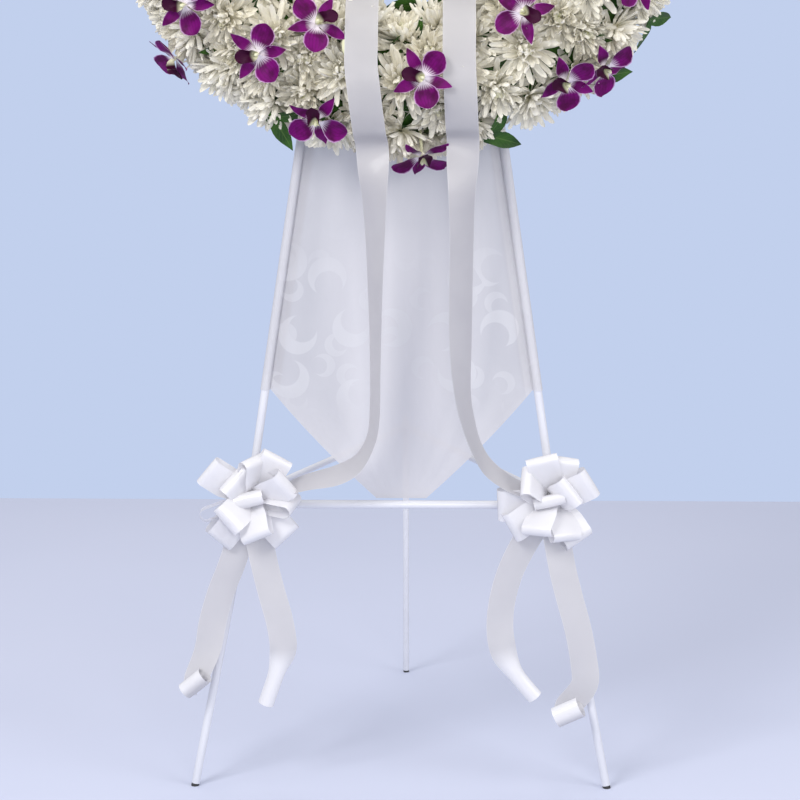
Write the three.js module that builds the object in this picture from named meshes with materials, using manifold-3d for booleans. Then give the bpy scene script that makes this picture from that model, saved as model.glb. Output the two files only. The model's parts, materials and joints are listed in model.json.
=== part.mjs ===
// A funeral flower stand: a white steel tripod with a leaning A-shaped upright frame, which carries
// a round wreath of chrysanthemums and orchids, a sheer panel, two ribbons and two pull bows.
// Millimetres, +Z up. The front is towards -Y, and the part rests on its three feet.
import * as THREE from 'three';
import { mergeVertices } from 'three/addons/utils/BufferGeometryUtils.js';
import Module from 'manifold-3d';

const wasm = await Module();
wasm.setup();

// Driving dimensions of the stand
const GAP = 0.3; // clearance between pieces that touch
const TUBE_RADIUS = 5;
const BRACE_RADIUS = 4;
const SOCKET_RADIUS = 6.6;
const SOCKET_LENGTH = 40;
const SOCKET_BELOW = 10; // how far a socket reaches down past the crossbar's corner
const UPRIGHT_START = 6; // from that corner up to an upright's end in its socket
const CORNER_HALF_WIDTH = 183;
const CROSSBAR_HEIGHT = 345;
const FOOT_HALF_WIDTH = 250;
const FOOT_FRONT = -35;
const FOOT_BACK = 406;
const APEX_BACK = 359;
const BACK_LEG_RISE = 14; // how far the back leg goes on above the braces
const BRACE_HEIGHT = CROSSBAR_HEIGHT + 10;
const LEAN = THREE.MathUtils.degToRad(8);
const ARCH_HEIGHT = 1403;
const ARCH_HALF_WIDTH = 27.5;
const TUBE_WALL = 1.2; // at the open lower ends, where the foot plugs go in
const PLUG_HEAD = 2.5; // what stands out below the tube
const PLUG_LENGTH = 12;
const PLUG_STEP = 0.2; // by which a plug's head is narrower than its tube

// Driving dimensions of the wreath
const WREATH_HEIGHT = 1100; // its centre
const RING_RADIUS = 258; // the circle through the middle of the ring
const SECTION_DEPTH = 22; // that circle, in front of the tray's back
const FOAM_RADIUS = 50;
const BED_INNER = 54;
const BED_OUTER = 64;
const TRAY_HALF_WIDTH = 54;
const TRAY_DEPTH = 20;
const TRAY_WALL = 3;
const BUNCHES = 8;
const RING_SEGMENTS = 32; // flats round the ring
const HEAD_RADIUS = 41;
const HEAD_HEIGHT = 34;
const HEAD_PETALS = 5;
const ORCHID_LIFT = 99; // the orchid's middle, from the ring's section centre
const ORCHID_RADIUS = 37;

// Driving dimensions of the cloth
const RIBBON_WIDTH = 38;
const RIBBON_THICKNESS = 0.8;
const RIBBON_LIFT = 101;
const PANEL_THICKNESS = 0.8;

const white = new THREE.MeshStandardMaterial({ color: 0xe9ebf3, roughness: 0.35, metalness: 0.2 });
const darkPlastic = new THREE.MeshStandardMaterial({ color: 0x26262a, roughness: 0.6, metalness: 0 });
const trayGreen = new THREE.MeshStandardMaterial({ color: 0x2c4a2e, roughness: 0.6, metalness: 0 });
const foamGreen = new THREE.MeshStandardMaterial({ color: 0x3b5a35, roughness: 0.95, metalness: 0 });
const petalWhite = new THREE.MeshStandardMaterial({ color: 0xdedfd0, roughness: 0.8, metalness: 0 });
const orchidPurple = new THREE.MeshStandardMaterial({ color: 0x6d0a72, roughness: 0.6, metalness: 0 });
const leafGreen = new THREE.MeshStandardMaterial({ color: 0x35500f, roughness: 0.55, metalness: 0 });
const satin = new THREE.MeshStandardMaterial({ color: 0xe6e6ee, roughness: 0.45, metalness: 0 });
const organza = new THREE.MeshStandardMaterial({ color: 0xd3d5e2, roughness: 0.8, metalness: 0 });

const vec = (x, y, z) => new THREE.Vector3(x, y, z);
const radians = (degrees) => THREE.MathUtils.degToRad(degrees);

// A repeatable random draw between 0 and 1.
function makeRandom(seed) {
  let state = seed;
  return () => {
    state = (state * 1664525 + 1013904223) % 4294967296;
    return state / 4294967296;
  };
}

// A closed three.js geometry as a solid for joining and cutting, turned to face outwards.
function solid(geometry) {
  const bare = geometry.clone();
  bare.deleteAttribute('normal');
  bare.deleteAttribute('uv');
  const merged = mergeVertices(bare, 1e-3);
  const points = merged.attributes.position;
  const index = merged.index.array;
  const kept = [];
  let volume = 0;
  const [a, b, c] = [vec(), vec(), vec()];
  for (let i = 0; i < index.length; i += 3) {
    const [p, q, r] = [index[i], index[i + 1], index[i + 2]];
    if (p === q || q === r || r === p) continue;
    kept.push(p, q, r);
    a.fromBufferAttribute(points, p);
    b.fromBufferAttribute(points, q);
    c.fromBufferAttribute(points, r);
    volume += a.dot(b.cross(c));
  }
  if (volume < 0) kept.reverse();
  return new wasm.Manifold(new wasm.Mesh({
    numProp: 3,
    vertProperties: new Float32Array(points.array),
    triVerts: new Uint32Array(kept),
  }));
}

function geometryOf(body) {
  const { vertProperties, triVerts } = body.getMesh();
  const geometry = new THREE.BufferGeometry();
  geometry.setAttribute('position', new THREE.BufferAttribute(new Float32Array(vertProperties), 3));
  geometry.setIndex(new THREE.BufferAttribute(new Uint32Array(triVerts), 1));
  geometry.computeVertexNormals();
  return geometry;
}

const union = (bodies) => bodies.reduce((sum, body) => sum.add(body));

// The largest of the loose bodies that a cut leaves.
function largest(body) {
  const pieces = body.decompose();
  return pieces.reduce((best, piece) => (piece.volume() > best.volume() ? piece : best));
}

// A straight bar between two points.
function barGeometry(from, to, radius, sides = 10) {
  const axis = to.clone().sub(from);
  const bar = new THREE.CylinderGeometry(radius, radius, axis.length(), sides);
  bar.applyQuaternion(new THREE.Quaternion().setFromUnitVectors(vec(0, 1, 0), axis.normalize()));
  const middle = from.clone().add(to).multiplyScalar(0.5);
  return bar.translate(middle.x, middle.y, middle.z);
}

const bar = (from, to, radius, sides) => solid(barGeometry(from, to, radius, sides));

const along = (from, to, distance) => from.clone().add(
  to.clone().sub(from).normalize().multiplyScalar(distance));

const stand = new THREE.Group();
stand.name = 'funeral_flower_stand';

function addNode(name, body, material, parent = stand) {
  const mesh = new THREE.Mesh(geometryOf(body), material);
  mesh.name = name;
  parent.add(mesh);
  return mesh;
}

// A point in the leaning plane of the uprights, at a height above the floor.
const leaning = (x, height) => vec(x, (height - CROSSBAR_HEIGHT) * Math.tan(LEAN), height);

const SIDES = [['left', -1], ['right', 1]];
const uprightBodies = {};
const cornerClearance = {};

// The lower legs, their sockets and the uprights that plug into them.
function buildLegs() {
  for (const [name, side] of SIDES) {
    const corner = vec(side * CORNER_HALF_WIDTH, 0, CROSSBAR_HEIGHT);
    const foot = vec(side * FOOT_HALF_WIDTH, FOOT_FRONT, 0);
    const top = leaning(side * ARCH_HALF_WIDTH, ARCH_HEIGHT);
    const socketLow = along(corner, top, -SOCKET_BELOW);
    const socketTop = along(corner, top, SOCKET_LENGTH);
    const leg = union([
      bar(along(foot, corner, PLUG_HEAD + GAP), corner, TUBE_RADIUS),
      bar(socketLow, socketTop, SOCKET_RADIUS),
    ]).subtract(bar(along(corner, top, UPRIGHT_START), along(corner, top, SOCKET_LENGTH + 5),
      TUBE_RADIUS + GAP)).subtract(plugBore(foot, corner, TUBE_RADIUS));
    const upright = bar(along(corner, top, UPRIGHT_START + GAP), along(top, corner, GAP),
      TUBE_RADIUS);
    addNode(`lower_leg_${name}`, leg, white);
    addNode(`upright_${name}`, upright, white);
    uprightBodies[name] = bar(corner, top, TUBE_RADIUS + GAP);
    cornerClearance[name] = union([
      bar(foot, corner, TUBE_RADIUS + GAP),
      bar(along(corner, top, -SOCKET_BELOW - GAP), along(corner, top, SOCKET_LENGTH + GAP),
        SOCKET_RADIUS + GAP),
    ]);
  }
}

// The arch that joins the uprights at the top.
function buildArch() {
  const curve = new THREE.CatmullRomCurve3();
  const steps = 8;
  const middle = leaning(0, ARCH_HEIGHT);
  const rise = vec(0, Math.sin(LEAN), Math.cos(LEAN));
  for (let i = 0; i <= steps; i += 1) {
    const angle = Math.PI * (i / steps);
    curve.points.push(middle.clone()
      .add(vec(-ARCH_HALF_WIDTH * Math.cos(angle), 0, 0))
      .addScaledVector(rise, GAP + ARCH_HALF_WIDTH * Math.sin(angle)));
  }
  return solid(new THREE.ExtrudeGeometry(circleShape(TUBE_RADIUS, 10), {
    steps: 10, extrudePath: curve, bevelEnabled: false }));
}

function circleShape(radius, sides) {
  const points = [];
  for (let i = 0; i < sides; i += 1) {
    const angle = (2 * Math.PI * i) / sides;
    points.push(new THREE.Vector2(radius * Math.cos(angle), radius * Math.sin(angle)));
  }
  return new THREE.Shape(points);
}

// The crossbar, braces and back leg: the welded triangle under the uprights.
function buildTriangle() {
  const corners = SIDES.map(([, side]) => vec(side * CORNER_HALF_WIDTH, 0, CROSSBAR_HEIGHT));
  let crossbar = bar(corners[0], corners[1], TUBE_RADIUS);
  for (const [name] of SIDES) crossbar = crossbar.subtract(cornerClearance[name]);
  addNode('crossbar', largest(crossbar), white);
  const backFoot = vec(0, FOOT_BACK, 0);
  const apex = vec(0, APEX_BACK, BRACE_HEIGHT);
  const backTop = along(apex, backFoot, -BACK_LEG_RISE);
  const backLeg = bar(along(backFoot, apex, PLUG_HEAD + GAP), backTop, BRACE_RADIUS);
  addNode('back_leg', backLeg.subtract(plugBore(backFoot, apex, BRACE_RADIUS)), white);
  const backClearance = bar(backFoot, along(apex, backFoot, -BACK_LEG_RISE - 2), BRACE_RADIUS + GAP);
  for (const [name, side] of SIDES) {
    const start = vec(side * CORNER_HALF_WIDTH, 0, BRACE_HEIGHT);
    const brace = bar(start, apex, BRACE_RADIUS).subtract(cornerClearance[name])
      .subtract(backClearance).subtract(halfSpace(-side));
    addNode(`brace_${name}`, largest(brace), white);
  }
}

// A block that takes away what a brace holds past the stand's middle plane.
function halfSpace(side) {
  const block = new THREE.BoxGeometry(100, 200, 100);
  block.translate(side * (50 - GAP), APEX_BACK, BRACE_HEIGHT);
  return solid(block);
}

// The open end of a leg's tube.
function plugBore(foot, above, legRadius) {
  return bar(foot, along(foot, above, PLUG_LENGTH + 2), legRadius - TUBE_WALL);
}

// A dark plug in a leg's open end, cut flat where it stands on the floor.
function buildFoot(name, foot, above, legRadius) {
  const head = bar(along(foot, above, -legRadius), along(foot, above, PLUG_HEAD),
    legRadius - PLUG_STEP, 12);
  const stem = bar(foot, along(foot, above, PLUG_LENGTH), legRadius - TUBE_WALL - GAP, 12);
  const below = solid(new THREE.BoxGeometry(60, 60, 40).translate(foot.x, foot.y, -20));
  addNode(name, head.add(stem).subtract(below), darkPlastic);
}

// The wreath's own frame: X to the right, Y up along the uprights, Z to the front.
const wreath = new THREE.Group();
wreath.rotation.x = Math.PI / 2 - LEAN;
wreath.position.copy(leaning(0, WREATH_HEIGHT));
wreath.position.addScaledVector(vec(0, -Math.cos(LEAN), Math.sin(LEAN)), TUBE_RADIUS + GAP);
wreath.updateMatrixWorld(true);
const toWreath = wreath.matrixWorld.clone().invert();

// A matrix as the 16 numbers that a solid's transform takes.
const moved = (body, matrix) => body.transform(matrix.toArray());
const inWreath = (body) => moved(body, toWreath);

// A frame on the ring: angle round the wreath from +X, tilt across its section from the front.
function ringFrame(angle, tilt, lift, roll = 0) {
  const outward = vec(Math.cos(angle), Math.sin(angle), 0);
  const normal = outward.clone().multiplyScalar(Math.sin(tilt)).add(vec(0, 0, Math.cos(tilt)));
  const up = vec(-Math.sin(angle), Math.cos(angle), 0);
  const side = up.clone().cross(normal);
  const place = outward.clone().multiplyScalar(RING_RADIUS).add(vec(0, 0, SECTION_DEPTH))
    .addScaledVector(normal, lift);
  const matrix = new THREE.Matrix4().makeBasis(side, up, normal).setPosition(place);
  return matrix.multiply(new THREE.Matrix4().makeRotationZ(roll));
}

// A closed ring turned about the wreath's axis, from a section of radius and height pairs.
function turned(section, segments) {
  const profile = section.map(([radius, height]) => new THREE.Vector2(radius, height));
  profile.push(profile[0].clone());
  const ring = new THREE.LatheGeometry(profile, segments);
  return solid(ring.rotateX(Math.PI / 2));
}

function buildTrayAndFoam() {
  const low = RING_RADIUS - TRAY_HALF_WIDTH;
  const high = RING_RADIUS + TRAY_HALF_WIDTH;
  const tray = turned([
    [low, 0], [high, 0], [high, TRAY_DEPTH], [high - TRAY_WALL, TRAY_DEPTH],
    [high - TRAY_WALL, TRAY_WALL], [low + TRAY_WALL, TRAY_WALL],
    [low + TRAY_WALL, TRAY_DEPTH], [low, TRAY_DEPTH],
  ], RING_SEGMENTS);
  addNode('tray', tray, trayGreen, wreath);
  const section = [];
  const floor = TRAY_WALL + GAP;
  const half = FOAM_RADIUS;
  section.push([RING_RADIUS - half, floor], [RING_RADIUS + half, floor]);
  const arcSteps = 4;
  for (let i = 0; i <= arcSteps; i += 1) {
    const angle = Math.PI * (i / arcSteps);
    section.push([RING_RADIUS + half * Math.cos(angle), SECTION_DEPTH + half * Math.sin(angle)]);
  }
  addNode('foam_ring', turned(section, RING_SEGMENTS), foamGreen, wreath);
}

// One bunch's bed of calyxes and stems: a curved strip over the foam, from a start to an end angle.
function bedSolid(start, end) {
  const outline = [];
  const steps = 4;
  const arc = (radius, from, to) => {
    for (let i = 0; i <= steps; i += 1) {
      const tilt = THREE.MathUtils.degToRad(from + ((to - from) * i) / steps);
      outline.push([RING_RADIUS + radius * Math.sin(tilt), SECTION_DEPTH + radius * Math.cos(tilt)]);
    }
  };
  arc(BED_OUTER, -98, 98);
  arc(BED_INNER, 90, -90);
  return sweptRing(outline, start, end, RING_SEGMENTS / BUNCHES);
}

// A section swept round part of the wreath's axis, with flat ends.
function sweptRing(outline, start, end, steps) {
  const count = outline.length;
  const positions = [];
  for (let k = 0; k <= steps; k += 1) {
    const angle = start + ((end - start) * k) / steps;
    for (const [radius, height] of outline) {
      positions.push(radius * Math.cos(angle), radius * Math.sin(angle), height);
    }
  }
  const faces = [];
  for (let k = 0; k < steps; k += 1) {
    for (let i = 0; i < count; i += 1) {
      const j = (i + 1) % count;
      const [a, b] = [k * count + i, k * count + j];
      faces.push(a, b, b + count, a, b + count, a + count);
    }
  }
  const flat = outline.map(([radius, height]) => new THREE.Vector2(radius, height));
  const turn = Math.sign(THREE.ShapeUtils.area(flat));
  for (const triangle of THREE.ShapeUtils.triangulateShape(flat, [])) {
    const same = Math.sign(THREE.ShapeUtils.area(triangle.map((i) => flat[i]))) === turn;
    const [a, b, c] = same ? triangle : [...triangle].reverse();
    faces.push(a, c, b);
    faces.push(steps * count + a, steps * count + b, steps * count + c);
  }
  return meshSolid(positions, faces);
}

function meshSolid(positions, faces) {
  const geometry = new THREE.BufferGeometry();
  geometry.setAttribute('position', new THREE.Float32BufferAttribute(positions, 3));
  geometry.setIndex(faces);
  return solid(geometry);
}

// A chrysanthemum head: two layers of petals round a dipped middle, on a short calyx.
function headSolid(radius, height, random) {
  const count = HEAD_PETALS;
  const positions = [];
  const faces = [];
  const ring = (number, offset, radiusAt, heightAt) => {
    const first = positions.length / 3;
    for (let i = 0; i < number; i += 1) {
      const angle = (2 * Math.PI * (i + offset)) / number;
      const r = radiusAt(i);
      positions.push(r * Math.cos(angle), r * Math.sin(angle), heightAt(i));
    }
    return first;
  };
  const jitter = () => 0.94 + 0.12 * random();
  const calyx = ring(count, 0.5, () => radius * 0.5, () => -3);
  const outer = ring(2 * count, 0, (i) => (i % 2 ? radius * 0.6 : radius * jitter()),
    (i) => (i % 2 ? height * 0.22 : height * 0.3 * jitter()));
  const waist = ring(count, 0.5, () => radius * 0.52, () => height * 0.5);
  const inner = ring(2 * count, 0.5, (i) => (i % 2 ? radius * 0.36 : radius * 0.68 * jitter()),
    (i) => (i % 2 ? height * 0.72 : height * 0.97 * jitter()));
  const middle = positions.length / 3;
  positions.push(0, 0, height * 0.55);
  const root = middle + 1;
  positions.push(0, 0, -12);
  for (let i = 0; i < count; i += 1) {
    const next = (i + 1) % count;
    const tip = outer + 2 * i;
    const notch = tip + 1;
    const nextTip = outer + 2 * next;
    const previous = (i + count - 1) % count;
    faces.push(root, calyx + next, calyx + i);
    faces.push(calyx + i, notch, tip, calyx + i, nextTip, notch, calyx + previous, calyx + i, tip);
    faces.push(tip, notch, waist + i, notch, nextTip, waist + i, waist + previous, tip, waist + i);
    const innerTip = inner + 2 * i;
    const innerNotch = innerTip + 1;
    const nextInner = inner + 2 * next;
    faces.push(waist + i, innerNotch, innerTip);
    faces.push(waist + i, waist + next, innerNotch);
    faces.push(waist + next, nextInner, innerNotch);
    faces.push(innerTip, innerNotch, middle, innerNotch, nextInner, middle);
  }
  return meshSolid(positions, faces);
}

// Rows of heads across the ring's section: tilt in degrees, and heads in even and odd bunches.
const HEAD_ROWS = [
  { tilt: -60, heads: [2, 2] },
  { tilt: 2, heads: [3, 2] },
  { tilt: 62, heads: [3, 4] },
];

// A flat blade with a keel below: stations of [distance, half width, rise] from its root.
function bladeGeometry(stations, tip, keel) {
  const positions = [];
  const faces = [];
  for (const [reach, half, rise] of stations) {
    positions.push(reach, half, rise, reach, -half, rise, reach, 0, rise - keel);
  }
  faces.push(0, 1, 2);
  for (let k = 0; k + 1 < stations.length; k += 1) {
    for (let i = 0; i < 3; i += 1) {
      const [a, b] = [3 * k + i, 3 * k + ((i + 1) % 3)];
      faces.push(a, b + 3, b, a, a + 3, b + 3);
    }
  }
  const last = 3 * (stations.length - 1);
  const end = positions.length / 3;
  positions.push(tip[0], 0, tip[1]);
  faces.push(last, end, last + 1, last + 1, end, last + 2, last + 2, end, last);
  return meshSolid(positions, faces);
}

const rotateZ = (angle) => new THREE.Matrix4().makeRotationZ(angle);

// A dendrobium bloom facing +Z on its stalk, with +Y its upper sepal's way.
function orchidSolid(radius) {
  const root = [2.6, 1.7, 0];
  const petal = () => bladeGeometry(
    [root, [radius * 0.62, radius * 0.34, 3]], [radius, 2], 2.4);
  const sepal = () => bladeGeometry([root, [radius * 0.55, radius * 0.19, 1]],
    [radius * 0.98, -0.5], 2);
  const parts = [];
  for (const angle of [90, 218, 322]) parts.push(moved(sepal(), rotateZ(radians(angle))));
  for (const angle of [20, 160]) parts.push(moved(petal(), rotateZ(radians(angle))));
  const lip = bladeGeometry([[1, 2, 4], [radius * 0.32, radius * 0.22, 10]], [radius * 0.6, 6], 3);
  parts.push(moved(lip, rotateZ(-Math.PI / 2)));
  const stalk = new THREE.CylinderGeometry(4, 1.8, 50, 5).rotateX(Math.PI / 2).translate(0, 0, -17);
  parts.push(solid(stalk));
  return union(parts);
}

// Where the blooms sit: angle round the wreath, tilt across it, roll, all in degrees.
const ORCHIDS = {
  a: [[-145, 26, 50]],
  b: [[-138.5, 72, 190]],
  c: [[-125.5, 14, 45.5]],
  d: [[-116, -24, -136]],
  e: [[-107.5, 38, -67.5]],
  f: [[-84.5, 0, -23]],
  g: [[-86, 63, -104]],
  h: [[-52.5, -16, 110.5]],
  i: [[-46, 54, -65.5], [-54, 40, -57.5]],
};

// The upper two thirds of the ring carry the same spread of six blooms twice.
const UPPER_ORCHIDS = [[-28, 30, 95], [-8, -12, 15], [8, 50, -80], [30, 8, 180], [52, -26, -120],
  [66, 44, 170]];
const UPPER_STARTS = [0, 110];

// Where leafy stems leave the ring: angle, tilt, and which way each of their leaves points.
const LEAF_STEMS = [
  { angle: -117, tilt: 60, ways: [45, 115] },
  { angle: -72.5, tilt: 62, ways: [42, 125] },
  { angle: -33, tilt: 72, ways: [22, -50] },
  { angle: 12, tilt: 70, ways: [25, -30] },
  { angle: 70, tilt: 70, ways: [-20, 30] },
  { angle: 140, tilt: 70, ways: [15, -35] },
  { angle: -81, tilt: -72, ways: [60, -60] },
  { angle: -47.5, tilt: 76, ways: [28] },
];
const LEAF_LENGTH = 52;
const LEAF_LIFT = 88; // where a stem's leaves part, from the ring's section centre

// A short stem with its leaves, standing out of the ring along +Z and leaning to +X. Grown by a
// margin, it is the room that the flowers leave for it.
function leafyStem(ways, margin = 0) {
  const parts = [solid(new THREE.CylinderGeometry(1.6 + margin, 1.8 + margin, 34 + 2 * margin, 6)
    .rotateX(Math.PI / 2).translate(0, 0, -14))];
  for (const way of ways) {
    const leaf = bladeGeometry([
      [-margin, 1.6 + margin, margin],
      [LEAF_LENGTH * 0.3, 10 + 4 * margin, 3 + margin],
      [LEAF_LENGTH * 0.62, 9 + 4 * margin, 4 + margin],
    ], [LEAF_LENGTH + 6 * margin, 1 - margin / 6], 1.8 + 4 * margin);
    parts.push(moved(leaf, rotateZ(radians(way))));
  }
  return union(parts);
}

// A strip of ribbon through stations of centre point and width direction.
function stripSolid(stations, width, thickness) {
  const centres = stations.map(([point]) => point);
  const positions = [];
  const faces = [];
  stations.forEach(([point, across], i) => {
    const ahead = centres[Math.min(i + 1, centres.length - 1)];
    const behind = centres[Math.max(i - 1, 0)];
    const run = ahead.clone().sub(behind).normalize();
    const wide = across.clone().addScaledVector(run, -across.dot(run)).normalize();
    const face = run.clone().cross(wide).normalize();
    for (const [w, t] of [[-1, -1], [1, -1], [1, 1], [-1, 1]]) {
      const corner = point.clone().addScaledVector(wide, (w * width) / 2)
        .addScaledVector(face, (t * thickness) / 2);
      positions.push(corner.x, corner.y, corner.z);
    }
  });
  faces.push(0, 1, 2, 0, 2, 3);
  for (let k = 0; k + 1 < stations.length; k += 1) {
    for (let i = 0; i < 4; i += 1) {
      const [a, b] = [4 * k + i, 4 * k + ((i + 1) % 4)];
      // The upper face is split along the same corners as the lower, so a twist keeps its thickness.
      if (i === 2) faces.push(a, a + 4, b, a + 4, b + 4, b);
      else faces.push(a, b + 4, b, a, a + 4, b + 4);
    }
  }
  const end = 4 * (stations.length - 1);
  faces.push(end, end + 2, end + 1, end, end + 3, end + 2);
  return meshSolid(positions, faces);
}

// Each ribbon's way: where it goes round the ring, on top and low down, and then down to its bow,
// with x, y and z of its middle line, the degrees that it is turned there from facing the front,
// and how far its width slopes.
const RIBBONS = {
  left: {
    topX: -45,
    lowX: -33,
    sag: [[-31, -38, 735, -32, 0], [-30, -36, 680, -50, 0], [-30, -33, 610, -62, 0],
      [-30, -31, 530, -70, 0], [-31, -30, 460, -72, 0], [-37, -29, 427, -76, -0.1],
      [-52, -28, 402, -80, -0.35], [-76, -27, 388, -80, -0.45], [-112, -26, 379, -82, -0.3],
      [-134, -25, 371, -84, -0.2]],
  },
  right: {
    topX: 67,
    lowX: 72,
    sag: [[71, -38, 735, 32, 0], [71, -36, 680, 42, 0], [70, -32, 560, 44, 0], [73, -30, 490, 58, 0],
      [80, -29, 453, 66, 0.1], [90, -28, 422, 74, 0.2], [104, -27, 398, 78, 0.3],
      [126, -26, 380, 82, 0.25], [142, -25, 372, 84, 0.2]],
  },
};

function ribbonStations({ topX, lowX, sag }) {
  const stations = [];
  const across = vec(1, 0, 0);
  const local = (x, radial, height) => {
    const depth = Math.sqrt(Math.max(radial * radial - x * x, 0));
    return vec(x, -depth, height).applyMatrix4(wreath.matrixWorld);
  };
  stations.push([local(topX, RING_RADIUS + 10, -1.2), across]);
  stations.push([local(topX, RING_RADIUS - TRAY_HALF_WIDTH - 11, -1.2), across]);
  for (let tilt = -96; tilt <= 54; tilt += 15) {
    const t = radians(tilt);
    const x = THREE.MathUtils.mapLinear(Math.max(tilt, -6), -6, 54, topX, lowX);
    stations.push([local(x, RING_RADIUS + RIBBON_LIFT * Math.sin(t),
      SECTION_DEPTH + RIBBON_LIFT * Math.cos(t)), across]);
  }
  for (const [px, py, pz, turn, slope] of sag) {
    const t = radians(turn);
    stations.push([vec(px, py, pz), vec(Math.cos(t), Math.sin(t), slope).normalize()]);
  }
  return stations;
}

// A pull bow: loops round a knot. Each loop gives its folded end's middle from the knot, and the
// end's direction across the ribbon, as seen from the front. Each tail gives its way from the knot
// and the roll at its end: the roll's middle and axis, whether it curls to the front (-1) or to the
// back (1), which way round the axis, the degrees of it, and its radius.
const BOWS = {
  left: {
    knot: [-179, -16.2, 357],
    loops: [
      [[-52, -14, 38], [34, -4, 22]], [[-22, -24, 30], [20, 4, 38]], [[6, -20, 54], [26, 10, 40]],
      [[34, -12, 54], [36, 8, -30]], [[46, -28, 26], [50, 6, -36]], [[54, -18, -6], [8, 36, 10]],
      [[44, -14, -46], [52, 6, 52]], [[10, -40, -40], [42, 8, 42]], [[-28, -40, -20], [40, 4, -34]],
      [[-60, -14, -20], [6, 36, -10]], [[-40, -20, -48], [24, 12, -30]],
    ],
    tails: [
      {
        way: [[-20, -10, -70], [-36, -10, -112], [-47, -10, -150], [-54, -13, -186]],
        roll: { middle: [-68.7, -30, -222], axis: [0.74, -0.15, 0.65], face: -1, spin: 1, turn: 300,
          radius: 12.5 },
      },
      {
        way: [[14, -12, -70], [24, -16, -112], [34, -18, -150], [38, -20, -186]],
        roll: { middle: [14, -24, -238], axis: [-0.1, -0.2, 0.97], face: 1, spin: 1, turn: 290,
          radius: 16 },
      },
    ],
  },
  right: {
    knot: [179, -16.2, 357],
    loops: [
      [[-13, -20, 56], [40, 4, 2]], [[24, -28, 18], [26, 4, -40]], [[48, -14, 26], [38, 6, -42]],
      [[-34, -28, 30], [22, 4, -36]], [[-64, -14, -4], [16, 6, -38]], [[-50, -24, -30], [24, 8, -34]],
      [[-18, -42, -32], [50, 8, 22]], [[18, -34, -42], [44, 6, -20]],
      [[34, -12, -50], [40, 16, 10]], [[14, -12, 54], [32, 14, -26]],
    ],
    tails: [
      {
        way: [[-38, -12, -64], [-54, -14, -106], [-60, -14, -150], [-55, -16, -186]],
        roll: { middle: [-27.7, -18, -230], axis: [0.79, 0.1, -0.61], face: 1, spin: -1, turn: 280,
          radius: 12.5 },
      },
      {
        way: [[12, -14, -72], [22, -18, -114], [33, -20, -154], [41, -20, -196], [42, -20, -226]],
        roll: { middle: [22, -32, -255], axis: [0.89, -0.1, 0.45], face: -1, spin: 1, turn: 270,
          radius: 15.5 },
      },
    ],
  },
};
const LOOP_WIDTH = 38;
const TAIL_WIDTH = 33;
const ROLL_STEPS = 5;
const LOOP_START = 8; // from the knot's centre
const KNOT_RADIUS = 13;

// One flattened loop from the knot to its folded end, as a band of ribbon.
function loopSolid(knot, reach, across) {
  const run = reach.clone().normalize();
  const length = reach.length();
  const wide = across.clone().addScaledVector(run, -across.dot(run)).normalize();
  const open = run.clone().cross(wide);
  const profile = [[0, 0.6], [0.6, 9], [1, 6], [1, -6], [0.6, -9], [0, -0.6]];
  const positions = [];
  const put = (reachAt, openAt, side) => {
    const half = (side * LOOP_WIDTH * (0.18 + 0.82 * Math.min(1, reachAt / (0.95 * length)))) / 2;
    const point = knot.clone().addScaledVector(run, reachAt).addScaledVector(open, openAt)
      .addScaledVector(wide, half);
    positions.push(point.x, point.y, point.z);
  };
  const shrink = RIBBON_THICKNESS;
  for (const [s, o] of profile) {
    const inner = Math.sign(o) * Math.max(Math.abs(o) - shrink, 0.2);
    const outerReach = s === 0 ? LOOP_START : s * length;
    const innerReach = s === 0 ? LOOP_START + 1.5 : s * length - shrink;
    put(outerReach, o, -1);
    put(outerReach, o, 1);
    put(innerReach, inner, 1);
    put(innerReach, inner, -1);
  }
  const count = profile.length;
  const faces = [];
  for (let k = 0; k < count; k += 1) {
    const next = (k + 1) % count;
    for (let i = 0; i < 4; i += 1) {
      const [a, b] = [4 * k + i, 4 * k + ((i + 1) % 4)];
      const [c, d] = [4 * next + i, 4 * next + ((i + 1) % 4)];
      faces.push(a, b, d, a, d, c);
    }
  }
  return meshSolid(positions, faces);
}

// A tail's stations from the knot: down its way and round the roll at its end.
function tailStations({ way, roll }) {
  const stations = [[vec(0, 0, 0), vec(1, 0, 0)]];
  for (const point of way) stations.push([vec(...point), vec(1, 0.2, 0)]);
  const axis = vec(...roll.axis).normalize();
  const inward = vec(0, roll.face, 0).projectOnPlane(axis).normalize();
  const ahead = axis.clone().cross(inward).multiplyScalar(roll.spin);
  for (let k = 0; k <= ROLL_STEPS; k += 1) {
    const t = radians((roll.turn * k) / ROLL_STEPS);
    const radius = roll.radius * (1 - (0.25 * k) / ROLL_STEPS);
    const point = vec(...roll.middle).addScaledVector(inward, -radius * Math.cos(t))
      .addScaledVector(ahead, radius * Math.sin(t));
    stations.push([point, axis]);
  }
  return stations;
}

function bowSolid({ knot, loops, tails }, obstacles) {
  const centre = vec(...knot);
  const ball = new THREE.IcosahedronGeometry(KNOT_RADIUS, 0).translate(...knot);
  const parts = [solid(ball)];
  for (const [reach, across] of loops) {
    parts.push(loopSolid(centre, vec(...reach), vec(...across)));
  }
  for (const tail of tails) {
    const stations = tailStations(tail).map(([point, across]) => [point.add(centre), across]);
    parts.push(stripSolid(stations, TAIL_WIDTH, RIBBON_THICKNESS));
  }
  let bow = union(parts);
  for (const obstacle of obstacles) bow = bow.subtract(obstacle);
  return largest(bow);
}

// The sheer panel: half widths down its length, as heights above the floor.
const PANEL_TOP = 783;
const PANEL_CORNER = 482;
const PANEL_LOW = 351;
const PANEL_TIP_HALF = 30;
const WRAP_RADIUS = TUBE_RADIUS + 1.2;

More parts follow.
